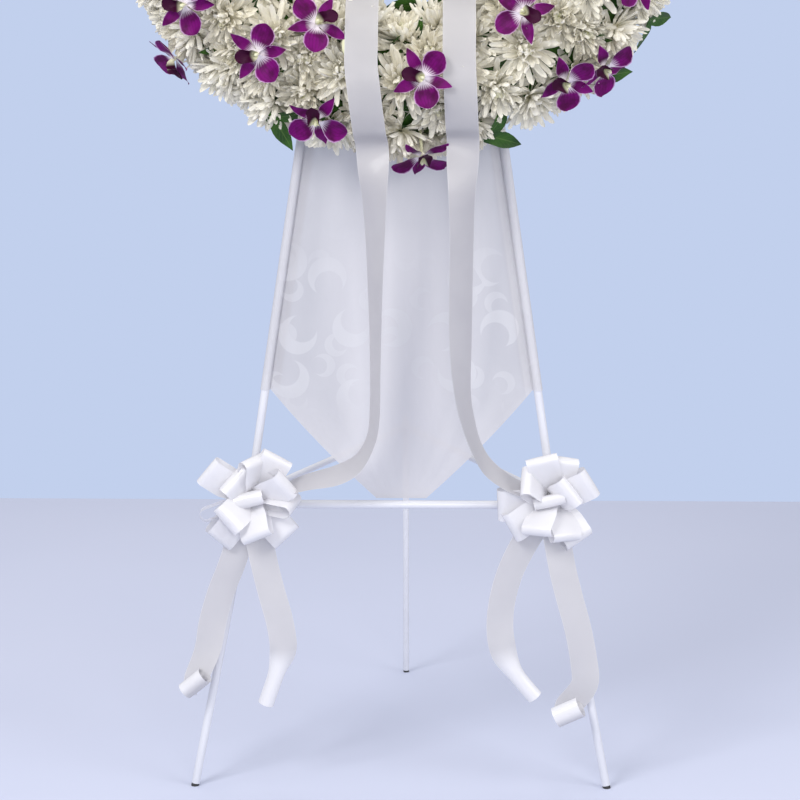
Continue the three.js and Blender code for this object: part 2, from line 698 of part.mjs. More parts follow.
// One level of the panel, from the hem behind the left upright round to the hem behind the right.
function panelLevel(height, wrap) {
  const half = CORNER_HALF_WIDTH + ((ARCH_HALF_WIDTH - CORNER_HALF_WIDTH)
    * (height - CROSSBAR_HEIGHT)) / (ARCH_HEIGHT - CROSSBAR_HEIGHT);
  const middle = leaning(0, height).y;
  const cut = Math.max(0, (PANEL_CORNER - height) / (PANEL_CORNER - PANEL_LOW));
  const reach = (half - 2) * (1 - cut) + PANEL_TIP_HALF * cut;
  const behindBar = cut > 0 ? cut * (TUBE_RADIUS * 2 + 3) : 0;
  const front = middle - WRAP_RADIUS;
  const folds = 12;
  const points = [];
  for (let i = 0; i <= folds; i += 1) {
    const u = -1 + (2 * i) / folds;
    const wave = 3.2 * (1 - u ** 8) * Math.cos(7 * Math.PI * u + 0.4 * Math.sin(height / 90));
    points.push(vec(u * reach, front - 0.4 + behindBar - Math.abs(wave) * (1 - cut), height));
  }
  const round = (side) => {
    const list = [];
    for (const degrees of [30, 90, 150]) {
      const t = radians(degrees);
      const r = WRAP_RADIUS + 0.5;
      list.push(vec(side * (half + r * Math.sin(t) * wrap), middle - r * Math.cos(t * wrap), height));
    }
    const inward = 34 * wrap;
    list.push(vec(side * (half - inward), middle + (WRAP_RADIUS + 0.5) * (wrap > 0 ? 1 : -1), height));
    return list;
  };
  if (wrap > 0) return [...round(-1).reverse(), ...points, ...round(1)];
  return points;
}

function panelSolid(heights, wrap) {
  const levels = heights.map((height) => panelLevel(height, wrap));
  const count = levels[0].length;
  const positions = [];
  for (const offset of [-0.5, 0.5]) {
    for (const level of levels) {
      level.forEach((point, i) => {
        const ahead = level[Math.min(i + 1, count - 1)];
        const behind = level[Math.max(i - 1, 0)];
        const run = ahead.clone().sub(behind).normalize();
        const normal = vec(run.y, -run.x, 0).multiplyScalar(-offset * PANEL_THICKNESS);
        positions.push(point.x + normal.x, point.y + normal.y, point.z);
      });
    }
  }
  const rows = levels.length;
  const at = (side, row, column) => side * rows * count + row * count + column;
  const faces = [];
  const quad = (a, b, c, d) => faces.push(a, b, c, a, c, d);
  for (let r = 0; r + 1 < rows; r += 1) {
    for (let c = 0; c + 1 < count; c += 1) {
      quad(at(0, r, c), at(0, r, c + 1), at(0, r + 1, c + 1), at(0, r + 1, c));
      quad(at(1, r, c), at(1, r + 1, c), at(1, r + 1, c + 1), at(1, r, c + 1));
    }
    quad(at(0, r, 0), at(0, r + 1, 0), at(1, r + 1, 0), at(1, r, 0));
    quad(at(0, r, count - 1), at(1, r, count - 1), at(1, r + 1, count - 1), at(0, r + 1, count - 1));
  }
  for (let c = 0; c + 1 < count; c += 1) {
    quad(at(0, 0, c), at(1, 0, c), at(1, 0, c + 1), at(0, 0, c + 1));
    quad(at(0, rows - 1, c), at(0, rows - 1, c + 1), at(1, rows - 1, c + 1), at(1, rows - 1, c));
  }
  return meshSolid(positions, faces);
}

function levelsBetween(top, bottom, steps) {
  const list = [];
  for (let i = 0; i <= steps; i += 1) list.push(top + ((bottom - top) * i) / steps);
  return list;
}

// The hanger bar between the uprights and the hook that the ring's inner edge hangs on.
const HOOK_RADIAL = RING_RADIUS - TRAY_HALF_WIDTH - BRACE_RADIUS - GAP * 2;
const HOOK_ROOM = 0.5; // what the flowers leave round the hook

function hangerBodies(margin) {
  const hookStart = vec(0, HOOK_RADIAL - 1, -TUBE_RADIUS - GAP).applyMatrix4(wreath.matrixWorld);
  const level = hookStart.z;
  const half = CORNER_HALF_WIDTH + ((ARCH_HALF_WIDTH - CORNER_HALF_WIDTH)
    * (level - CROSSBAR_HEIGHT)) / (ARCH_HEIGHT - CROSSBAR_HEIGHT);
  let barBody = bar(leaning(-half, level), leaning(half, level), BRACE_RADIUS);
  for (const [name] of SIDES) barBody = barBody.subtract(uprightBodies[name]);
  const path = [[0, -TUBE_RADIUS - GAP], [0, 20], [0, 52], [6, 60], [16, 63]].map(([rise, depth]) => (
    vec(0, HOOK_RADIAL + (rise > 0 ? rise : 0), depth).applyMatrix4(wreath.matrixWorld)));
  const hook = solid(new THREE.ExtrudeGeometry(circleShape(BRACE_RADIUS + margin, 8), {
    steps: 8, extrudePath: new THREE.CatmullRomCurve3(path), bevelEnabled: false }));
  return largest(barBody).add(hook);
}

buildLegs();
buildTriangle();
addNode('top_arch', buildArch(), white);
for (const [name, side] of SIDES) {
  buildFoot(`foot_${name}`, vec(side * FOOT_HALF_WIDTH, FOOT_FRONT, 0),
    vec(side * CORNER_HALF_WIDTH, 0, CROSSBAR_HEIGHT), TUBE_RADIUS);
}
buildFoot('foot_back', vec(0, FOOT_BACK, 0), vec(0, APEX_BACK, BRACE_HEIGHT), BRACE_RADIUS);
const hanger = hangerBodies(0);
const hangerRoom = hangerBodies(HOOK_ROOM);
addNode('hanger_hook', hanger, white);
buildTrayAndFoam();

// Cloth: ribbons first, because the flowers give way under them.
const ribbonBodies = {};
const ribbonRoom = {};
for (const [name, plan] of Object.entries(RIBBONS)) {
  const stations = ribbonStations(plan);
  ribbonBodies[name] = stripSolid(stations, RIBBON_WIDTH, RIBBON_THICKNESS);
  ribbonRoom[name] = stripSolid(stations, RIBBON_WIDTH + 2, RIBBON_THICKNESS + 1);
}

const orchidNodes = [];
const orchidRoom = [];
const leafRoom = [];
const ribbonCuts = SIDES.map(([name]) => inWreath(ribbonRoom[name]));

function placeOrchid(name, blooms) {
  const bodies = [];
  for (const [angle, tilt, roll] of blooms) {
    const frame = ringFrame(radians(angle), radians(tilt), ORCHID_LIFT, radians(roll));
    bodies.push(moved(orchidSolid(ORCHID_RADIUS), frame));
    const cup = new THREE.CylinderGeometry(ORCHID_RADIUS + 3.5, ORCHID_RADIUS + 3.5, 30, 8)
      .rotateX(Math.PI / 2).translate(0, 0, 12);
    const shaft = new THREE.CylinderGeometry(4.5, 2.4, 42.3, 6).rotateX(Math.PI / 2)
      .translate(0, 0, -21.15);
    orchidRoom.push(moved(solid(cup).add(solid(shaft)), frame));
  }
  let bloom = union(bodies);
  for (const cut of ribbonCuts) bloom = bloom.subtract(cut);
  orchidNodes.push([`orchid_${name}`, largest(bloom)]);
}

for (const [name, blooms] of Object.entries(ORCHIDS)) placeOrchid(name, blooms);
UPPER_STARTS.forEach((start, set) => {
  UPPER_ORCHIDS.forEach(([angle, tilt, roll], i) => {
    placeOrchid(`upper_${6 * set + i + 1}`, [[angle + start, tilt, roll]]);
  });
});

const leafNodes = [];
LEAF_STEMS.forEach(({ angle, tilt, ways }, i) => {
  const frame = ringFrame(radians(angle), radians(tilt), LEAF_LIFT, tilt < 0 ? Math.PI : 0);
  leafNodes.push([`leaves_${i + 1}`, moved(leafyStem(ways), frame)]);
  leafRoom.push(moved(leafyStem(ways, 1), frame));
});

stand.add(wreath);

// A wedge round the wreath's axis that one bunch may fill.
function wedgeSolid(start, end) {
  const reach = 420;
  const shape = new THREE.Shape([
    new THREE.Vector2(0, 0),
    new THREE.Vector2(reach * Math.cos(start), reach * Math.sin(start)),
    new THREE.Vector2(reach * Math.cos(end), reach * Math.sin(end)),
  ]);
  const wedge = new THREE.ExtrudeGeometry(shape, { depth: 240, bevelEnabled: false });
  return solid(wedge.translate(0, 0, -60));
}

// Bunches of heads, cut clear of what is set among them.
function buildBunches() {
  const random = makeRandom(41);
  const span = (2 * Math.PI) / BUNCHES;
  const slit = 0.0012; // radians between two bunches, on each side
  const cutters = [...orchidRoom, ...leafRoom, ...ribbonCuts, inWreath(hangerRoom)];
  for (let k = 0; k < BUNCHES; k += 1) {
    const start = -Math.PI / 2 + span * (k - 0.5);
    const parts = [bedSolid(start + slit, start + span - slit)];
    for (const { tilt, heads } of HEAD_ROWS) {
      const number = heads[k % 2];
      for (let i = 0; i < number; i += 1) {
        const angle = start + span * ((i + 0.5 + (random() - 0.5) * 0.1) / number);
        const lean = radians(tilt + (random() - 0.5) * 6);
        const head = headSolid(HEAD_RADIUS * (0.95 + 0.1 * random()), HEAD_HEIGHT, random);
        parts.push(moved(head, ringFrame(angle, lean, BED_OUTER, random() * Math.PI)));
      }
    }
    let bunch = union(parts).intersect(wedgeSolid(start + slit, start + span - slit));
    for (const cutter of cutters) bunch = bunch.subtract(cutter);
    bunch = largest(bunch);
    leafNodes.forEach((leaf) => {
      leaf[1] = largest(leaf[1].subtract(bunch));
    });
    addNode(`chrysanthemums_${k + 1}`, bunch, petalWhite, wreath);
  }
}
buildBunches();

for (const [name, body] of orchidNodes) addNode(name, body, orchidPurple, wreath);
for (const [name, body] of leafNodes) addNode(name, body, leafGreen, wreath);
for (const [name] of SIDES) {
  addNode(`ribbon_${name}`, ribbonBodies[name], satin);
  addNode(`bow_${name}`, bowSolid(BOWS[name], [ribbonRoom[name], cornerClearance[name]]), satin);
}
addNode('sheer_panel', union([
  panelSolid(levelsBetween(PANEL_TOP, PANEL_CORNER, 3), 1),
  panelSolid(levelsBetween(PANEL_CORNER + 1, PANEL_LOW, 4), 0),
]), organza);

// The origin is on the floor under the middle of the whole.
const bounds = new THREE.Box3().setFromObject(stand, true);
const middle = bounds.getCenter(vec());
stand.position.set(-middle.x, -middle.y, -bounds.min.z);

export default stand;
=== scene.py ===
"""Looks of a funeral flower stand: its enamelled tubes, wreath of flowers, sheer panel and bows.

Lengths are in millimetres in the stand's own measures, whose origin lies on the floor under the
middle of the crossbar. Each finished piece is turned into metres in the part's frame.
"""

import json
import logging
import math
import random
from collections.abc import Callable, Iterable, Sequence
from dataclasses import dataclass, field
from enum import Enum

import bmesh
import bpy
from mathutils import Matrix, Vector

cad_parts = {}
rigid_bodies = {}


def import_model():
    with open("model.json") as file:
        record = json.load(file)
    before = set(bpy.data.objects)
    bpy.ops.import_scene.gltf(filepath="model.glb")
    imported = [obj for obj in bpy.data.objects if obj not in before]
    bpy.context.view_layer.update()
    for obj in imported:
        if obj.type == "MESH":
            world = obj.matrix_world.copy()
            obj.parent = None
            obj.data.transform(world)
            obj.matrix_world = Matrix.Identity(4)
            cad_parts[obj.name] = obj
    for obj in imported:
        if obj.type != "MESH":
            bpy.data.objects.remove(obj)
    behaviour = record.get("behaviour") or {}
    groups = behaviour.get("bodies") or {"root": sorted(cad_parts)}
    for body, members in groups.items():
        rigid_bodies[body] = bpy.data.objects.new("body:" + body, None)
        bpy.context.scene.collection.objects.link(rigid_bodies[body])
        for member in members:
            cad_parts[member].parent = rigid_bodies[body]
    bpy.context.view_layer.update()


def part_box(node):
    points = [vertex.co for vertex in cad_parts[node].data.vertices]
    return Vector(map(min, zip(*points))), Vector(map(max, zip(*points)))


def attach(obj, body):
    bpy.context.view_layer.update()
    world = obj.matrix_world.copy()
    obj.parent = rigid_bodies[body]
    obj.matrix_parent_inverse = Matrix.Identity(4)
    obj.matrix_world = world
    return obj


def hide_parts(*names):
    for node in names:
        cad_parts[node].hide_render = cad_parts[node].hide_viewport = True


LOG = logging.getLogger("flower_stand")

TUBE_RADIUS = 5.0
BRACE_RADIUS = 4.0
SOCKET_RADIUS = 6.6
SOCKET_LENGTH = 40.0
CORNER_HALF_WIDTH = 183.0
CROSSBAR_HEIGHT = 345.0
BRACE_HEIGHT = 355.0
FOOT_HALF_WIDTH = 250.0
FOOT_FRONT = -35.0
FOOT_BACK = 406.0
APEX_BACK = 359.0
LEAN = math.radians(8)
ARCH_HEIGHT = 1403.0
ARCH_HALF_WIDTH = 27.5
WREATH_HEIGHT = 1100.0
RING_RADIUS = 258.0
SECTION_DEPTH = 22.0
TRAY_HALF_WIDTH = 54.0
TRAY_DEPTH = 20.0
TRAY_WALL = 3.0
GAP = 0.3
TUBE_WALL = 1.2
PLUG_HEAD = 2.5
PLUG_LENGTH = 12.0

Row = Sequence[Vector]
Triple = tuple[float, float, float]
Material = bpy.types.Material


class Side(Enum):
    """The stand's two sides, as seen from the front."""

    LEFT = -1
    RIGHT = 1

    @property
    def word(self) -> str:
        """The side's name in node names."""
        return self.name.lower()


def leaning(x: float, height: float) -> Vector:
    """A point in the leaning plane of the uprights.

    Args:
        x: Distance to the right of the middle.
        height: Height above the floor.

    Returns:
        The point in the stand's measures.
    """
    return Vector((x, (height - CROSSBAR_HEIGHT) * math.tan(LEAN), height))


def upright_half(height: float) -> float:
    """Half of the distance between the uprights' axes at a height."""
    share = (height - CROSSBAR_HEIGHT) / (ARCH_HEIGHT - CROSSBAR_HEIGHT)
    return CORNER_HALF_WIDTH + (ARCH_HALF_WIDTH - CORNER_HALF_WIDTH) * share


def towards(start: Vector, end: Vector, distance: float) -> Vector:
    """The point at a distance from start on the way to end."""
    return start + (end - start).normalized() * distance


def rotation(degrees: float, axis: str) -> Matrix:
    """A turn about one of the three axes."""
    return Matrix.Rotation(math.radians(degrees), 4, axis)


def spaced(count: int) -> list[float]:
    """Numbers from -1 to 1 at even steps, for the points across a blade or a cloth."""
    return [2 * i / (count - 1) - 1 for i in range(count)]


def run_at(line: Row, i: int) -> Vector:
    """The direction of a line at one of its points."""
    return (line[min(i + 1, len(line) - 1)] - line[max(i - 1, 0)]).normalized()


def edges_at(verts: Sequence[bmesh.types.BMVert]) -> set[bmesh.types.BMEdge]:
    """The edges that meet at any of the vertices."""
    return {edge for vert in verts for edge in vert.link_edges}


def wreath_frame() -> Matrix:
    """The wreath's own frame: X right, Y up along the uprights, Z to the front."""
    forward = Vector((0, -math.cos(LEAN), math.sin(LEAN)))
    centre = leaning(0, WREATH_HEIGHT) + forward * (TUBE_RADIUS + GAP)
    return Matrix.Translation(centre) @ Matrix.Rotation(math.pi / 2 - LEAN, 4, "X")


WREATH = wreath_frame()


def ring_frame(angle: float, tilt: float, lift: float, roll: float = 0.0) -> Matrix:
    """A frame that stands on the ring's section with Z outwards.

    Args:
        angle: Degrees round the wreath from its right-hand side.
        tilt: Degrees across the section from the front towards the rim.
        lift: Distance from the middle of the section.
        roll: Degrees that the frame is turned about its own Z.

    Returns:
        The frame in the stand's measures.
    """
    turn, lean = math.radians(angle), math.radians(tilt)
    outward = Vector((math.cos(turn), math.sin(turn), 0))
    normal = outward * math.sin(lean) + Vector((0, 0, math.cos(lean)))
    tangent = Vector((-math.sin(turn), math.cos(turn), 0))
    side = tangent.cross(normal)
    place = outward * RING_RADIUS + Vector((0, 0, SECTION_DEPTH)) + normal * lift
    basis = Matrix((side, tangent, normal)).transposed().to_4x4()
    return WREATH @ Matrix.Translation(place) @ basis @ rotation(roll, "Z")


def smooth_path(points: Row, steps: int) -> list[Vector]:
    """A smooth line through points.

    Args:
        points: The points that it passes through.
        steps: Pieces between each two of them.

    Returns:
        The points of the smooth line.
    """
    line = []
    last = len(points) - 1
    for i in range(last):
        before, start = points[max(i - 1, 0)], points[i]
        end, after = points[i + 1], points[min(i + 2, last)]
        for k in range(steps):
            t = k / steps
            line.append(
                start
                + (end - before) * (0.5 * t)
                + (before * 2 - start * 5 + end * 4 - after) * (0.5 * t * t)
                + (start * 3 - before - end * 3 + after) * (0.5 * t**3)
            )
    line.append(points[last].copy())
    return line


class Wire:
    """A socket in a graph of shader nodes, with arithmetic that adds Math nodes."""

    def __init__(self, graph: "Graph", socket: bpy.types.NodeSocket) -> None:
        """Wraps an output socket of a graph's node."""
        self.graph = graph
        self.socket = socket

    def __add__(self, other: "Wire | float") -> "Wire":
        """This plus other."""
        return self.graph.math("ADD", self, other)

    __radd__ = __add__

    def __sub__(self, other: "Wire | float") -> "Wire":
        """This minus other."""
        return self.graph.math("SUBTRACT", self, other)

    def __rsub__(self, other: float) -> "Wire":
        """Other minus this."""
        return self.graph.math("SUBTRACT", other, self)

    def __mul__(self, other: "Wire | float") -> "Wire":
        """This times other."""
        return self.graph.math("MULTIPLY", self, other)

    __rmul__ = __mul__

    def __gt__(self, other: "Wire | float") -> "Wire":
        """1 where this is greater than other."""
        return self.graph.math("GREATER_THAN", self, other)

    def sine(self) -> "Wire":
        """The sine of this."""
        return self.graph.math("SINE", self, 0.0)

    def size(self) -> "Wire":
        """This without its sign."""
        return self.graph.math("ABSOLUTE", self, 0.0)

    def from_middle(self) -> "Wire":
        """0 on the middle line of a blade or ribbon and 1 at its edges."""
        return (self - 0.5).size() * 2.0

    def ramp(self, low: float, high: float) -> "Wire":
        """A smooth rise from 0 where this is low to 1 where it is high."""
        return self.graph.node(
            "ShaderNodeMapRange",
            {"interpolation_type": "SMOOTHSTEP"},
            {"Value": self, "From Min": low, "From Max": high},
        )


Value = Wire | float | tuple[float, ...]


class Graph:
    """The node tree of one material or of the world."""

    def __init__(self, tree: bpy.types.NodeTree) -> None:
        """Empties the tree, so that only this graph's nodes are in it."""
        self.tree = tree
        tree.nodes.clear()

    def node(
        self,
        kind: str,
        settings: dict[str, object] | None = None,
        inputs: dict[str | int, Value] | None = None,
        output: str | int = 0,
    ) -> Wire:
        """Adds a node.

        Args:
            kind: The node's type.
            settings: Its properties.
            inputs: Values or wires for its sockets, by name or number.
            output: The socket that is handed back.

        Returns:
            The output as a wire.
        """
        made = self.tree.nodes.new(kind)
        for name, value in (settings or {}).items():
            setattr(made, name, value)
        for name, value in (inputs or {}).items():
            if isinstance(value, Wire):
                self.tree.links.new(value.socket, made.inputs[name])
            else:
                made.inputs[name].default_value = value
        if not made.outputs:
            return Wire(self, made.inputs[0])
        return Wire(self, made.outputs[output])

    def math(self, operation: str, first: "Wire | float", second: "Wire | float") -> Wire:
        """Adds a Math node for two numbers."""
        return self.node("ShaderNodeMath", {"operation": operation}, {0: first, 1: second})

    def mix(self, factor: "Wire | float", first: Value, second: Value) -> Wire:
        """Mixes two colours.

        Args:
            factor: 0 for the first colour, 1 for the second.
            first: A colour or a wire.
            second: A colour or a wire.

        Returns:
            The mixed colour.
        """
        first = first if isinstance(first, Wire) else (*first, 1.0)
        second = second if isinstance(second, Wire) else (*second, 1.0)
        return self.node(
            "ShaderNodeMix", {"data_type": "RGBA"}, {0: factor, 6: first, 7: second}, output=2,
        )

    def most(self, first: "Wire | float", second: "Wire | float") -> Wire:
        """The greater of two numbers."""
        return self.math("MAXIMUM", first, second)

    def objects(self) -> Wire:
        """Places on the object, in metres."""
        return self.node("ShaderNodeTexCoord", output="Object")

    def uv(self) -> tuple[Wire, Wire]:
        """The piece's own two coordinates: across the cloth or petal, and along it."""
        parts = self.node("ShaderNodeSeparateXYZ", inputs={0: self.node("ShaderNodeUVMap")})
        return parts, Wire(self, parts.socket.node.outputs[1])

    def attribute(self, name: str) -> Wire:
        """A number that the mesh carries."""
        return self.node("ShaderNodeAttribute", {"attribute_name": name}, output="Fac")

    def noise(self, where: Wire, scale: float, detail: float = 3.0, rough: float = 0.55) -> Wire:
        """Soft noise round 0.5."""
        return self.node(
            "ShaderNodeTexNoise",
            inputs={"Vector": where, "Scale": scale, "Detail": detail, "Roughness": rough},
        )

    def bump(self, height: Wire, strength: float, distance: float) -> Wire:
        """A surface raised by a height."""
        return self.node(
            "ShaderNodeBump", inputs={"Height": height, "Strength": strength, "Distance": distance}
        )

    def surface(self, through: float = 0.0, **sockets: Value) -> None:
        """Ends the graph in a Principled surface.

        Args:
            through: The share of the light that comes through from behind, for cloth and petals.
            sockets: Values by socket name, with underscores for spaces.
        """
        inputs = {name.replace("_", " "): value for name, value in sockets.items()}
        shader = self.node("ShaderNodeBsdfPrincipled", inputs=inputs)
        if through:
            back = self.node("ShaderNodeBsdfTranslucent", inputs={"Color": inputs["Base Color"]})
            shader = self.node("ShaderNodeMixShader", inputs={0: through, 1: shader, 2: back})
        self.node("ShaderNodeOutputMaterial", inputs={"Surface": shader})


@dataclass(frozen=True)
class Finish:
    """A finish with a name, which builds its own material."""

    name: str

    def make(self) -> Material:
        """Builds the material."""
        material = bpy.data.materials.new(self.name)
        material.use_nodes = True
        self.dress(Graph(material.node_tree))
        return material

    def dress(self, graph: Graph) -> None:
        """Adds the finish's nodes to a graph."""
        raise NotImplementedError


@dataclass(frozen=True)
class Enamel(Finish):
    """White stoving enamel on steel tube: glossy, with a slight orange peel."""

    colour: Triple = (0.72, 0.73, 0.78)

    def dress(self, graph: Graph) -> None:
        """Adds the enamel's nodes."""
        place = graph.objects()
        cloud = graph.noise(place, 9.0)
        peel = graph.noise(place, 420.0, 2.0)
        colour = graph.mix(cloud.ramp(0.35, 0.75), self.colour, (0.66, 0.67, 0.73))
        graph.surface(
            Base_Color=colour, Roughness=0.26 + cloud * 0.12, Coat_Weight=0.25, Coat_Roughness=0.12,
            Normal=graph.bump(peel, 0.12, 0.0004),
        )


@dataclass(frozen=True)
class Plastic(Finish):
    """Moulded plastic with a fine grain."""

    colour: Triple = (0.02, 0.02, 0.022)
    worn: Triple = (0.05, 0.05, 0.055)
    roughness: float = 0.5

    def dress(self, graph: Graph) -> None:
        """Adds the plastic's nodes."""
        place = graph.objects()
        cloud = graph.noise(place, 24.0, 4.0)
        grain = graph.noise(place, 900.0, 2.0)
        graph.surface(
            Base_Color=graph.mix(cloud.ramp(0.4, 0.7), self.colour, self.worn),
            Roughness=self.roughness + (cloud - 0.5) * 0.2,
            Normal=graph.bump(grain, 0.25, 0.0003),
        )


@dataclass(frozen=True)
class WetFoam(Finish):
    """Dark green floral foam, open and crumbly."""

    def dress(self, graph: Graph) -> None:
        """Adds the foam's nodes."""
        place = graph.objects()
        cells = graph.noise(place, 300.0, 5.0, 0.7)
        graph.surface(
            Base_Color=graph.mix(cells.ramp(0.3, 0.7), (0.02, 0.04, 0.018), (0.06, 0.10, 0.045)),
            Roughness=0.95,
            Normal=graph.bump(cells, 0.8, 0.002),
        )


@dataclass(frozen=True)
class ChrysanthemumPetal(Finish):
    """Creamy white petals, greener at the root and yellow-green in the middle of the head."""

    white: Triple = (0.98, 0.958, 0.872)
    shaded: Triple = (0.955, 0.915, 0.79)
    root: Triple = (0.90, 0.86, 0.60)
    heart: Triple = (0.62, 0.68, 0.22)

    def dress(self, graph: Graph) -> None:
        """Adds the petals' nodes."""
        across, along = graph.uv()
        depth = graph.attribute("depth")
        tint = graph.attribute("tint")
        place = graph.objects()
        colour = graph.mix(tint, self.white, self.shaded)
        colour = graph.mix(depth.ramp(0.62, 1.0), colour, self.heart)
        colour = graph.mix((1.0 - along.ramp(0.0, 0.4)) * 0.6, colour, self.root)
        stripes = (across * 30.0 + graph.noise(place, 90.0) * 3.0).sine()
        colour = graph.mix(stripes.ramp(-0.6, 1.0) * 0.10, colour, (0.80, 0.79, 0.69))
        graph.surface(
            through=0.25, Base_Color=colour, Roughness=0.5, Normal=graph.bump(stripes, 0.35, 0.0004)
        )


@dataclass(frozen=True)
class OrchidPetal(Finish):
    """Deep purple tepals with white bases and pale rims, and a maroon lip."""

    purple: Triple = (0.150, 0.0010, 0.128)
    deep: Triple = (0.062, 0.0004, 0.044)
    base: Triple = (0.80, 0.74, 0.80)
    maroon: Triple = (0.035, 0.001, 0.020)
    column: Triple = (0.74, 0.74, 0.52)

    def dress(self, graph: Graph) -> None:
        """Adds the bloom's nodes."""
        across, along = graph.uv()
        part = graph.attribute("part")
        place = graph.objects()
        cloud = graph.noise(place, 60.0)
        edge = across.from_middle()
        colour = graph.mix(cloud.ramp(0.35, 0.7), self.purple, self.deep)
        veins = ((across - 0.5) * 46.0 + graph.noise(place, 120.0) * 1.4).sine().ramp(0.2, 1.0)
        colour = graph.mix(veins * 0.30, colour, self.deep)
        streak = (1.0 - (along + veins * 0.10 + cloud * 0.14).ramp(0.24, 0.47)) * (1.0 - part)
        colour = graph.mix(streak, colour, self.base)
        rim = edge.ramp(0.88, 0.98) * along.ramp(0.1, 0.4)
        tip = along.ramp(0.965, 0.995)
        pale = graph.most(rim, tip) * 0.75
        colour = graph.mix(pale * (1.0 - part), colour, (0.60, 0.36, 0.62))
        lip = part.ramp(0.3, 0.45)
        colour = graph.mix(lip, colour, graph.mix(along.ramp(0.08, 0.3), self.column, self.maroon))
        colour = graph.mix(part.ramp(0.7, 0.8), colour, self.column)
        graph.surface(
            Base_Color=colour, Roughness=0.45 + cloud * 0.15, Specular_IOR_Level=0.12,
            Normal=graph.bump(veins, 0.25, 0.0004),
        )


@dataclass(frozen=True)
class Leaf(Finish):
    """A dark green leaf with a pale midrib and slanting side veins."""

    dark: Triple = (0.010, 0.045, 0.004)
    light: Triple = (0.030, 0.100, 0.007)

    def dress(self, graph: Graph) -> None:
        """Adds the leaf's nodes."""
        across, along = graph.uv()
        cloud = graph.noise(graph.objects(), 55.0)
        edge = across.from_middle()
        veins = ((along - edge * 0.22) * 62.0).sine().ramp(0.55, 1.0)
        midrib = 1.0 - edge.ramp(0.02, 0.10)
        colour = graph.mix(cloud.ramp(0.3, 0.72), self.dark, self.light)
        colour = graph.mix(veins * 0.3, colour, (0.05, 0.12, 0.02))
        colour = graph.mix(midrib * 0.5, colour, (0.10, 0.18, 0.04))
        graph.surface(
            Base_Color=colour, Roughness=0.42 + cloud * 0.16, Specular_IOR_Level=0.3,
            Normal=graph.bump(veins + midrib * 2.0, 0.3, 0.0005),
        )


@dataclass(frozen=True)
class Satin(Finish):
    """White satin ribbon: fine cross threads, woven edges and soft creases. The bows' loops and the
    tails' rolls are painted lighter, partly for the doubled ribbon and partly as painted light.
    """

    colour: Triple = (0.56, 0.55, 0.57)
    shade: Triple = (0.53, 0.52, 0.545)
    doubled_and_lit: Triple = (0.87, 0.865, 0.89)

    def dress(self, graph: Graph) -> None:
        """Adds the satin's nodes."""
        across, along = graph.uv()
        place = graph.objects()
        crease = graph.noise(place, 20.0, 2.0, 0.5)
        bright = graph.attribute("bright")
        threads = (along * 5200.0).sine()
        edge = across.from_middle().ramp(0.93, 0.97)
        colour = graph.mix(crease.ramp(0.3, 0.75), self.colour, self.shade)
        # painted light: the bows' loops and the tails' rolls take a much lighter colour than the
        # hanging ribbons
        colour = graph.mix(bright, colour, self.doubled_and_lit)
        colour = graph.mix(edge * 0.15, colour, (0.88, 0.88, 0.90))
        height = crease + threads * 0.012 + edge * 0.06
        graph.surface(
            through=0.3, Base_Color=colour, Roughness=0.40 + crease * 0.12, Specular_IOR_Level=0.6,
            Coat_Weight=0.15 + bright * 0.85, Coat_Roughness=0.09,
            Normal=graph.bump(height, 0.2, 0.0008),
        )


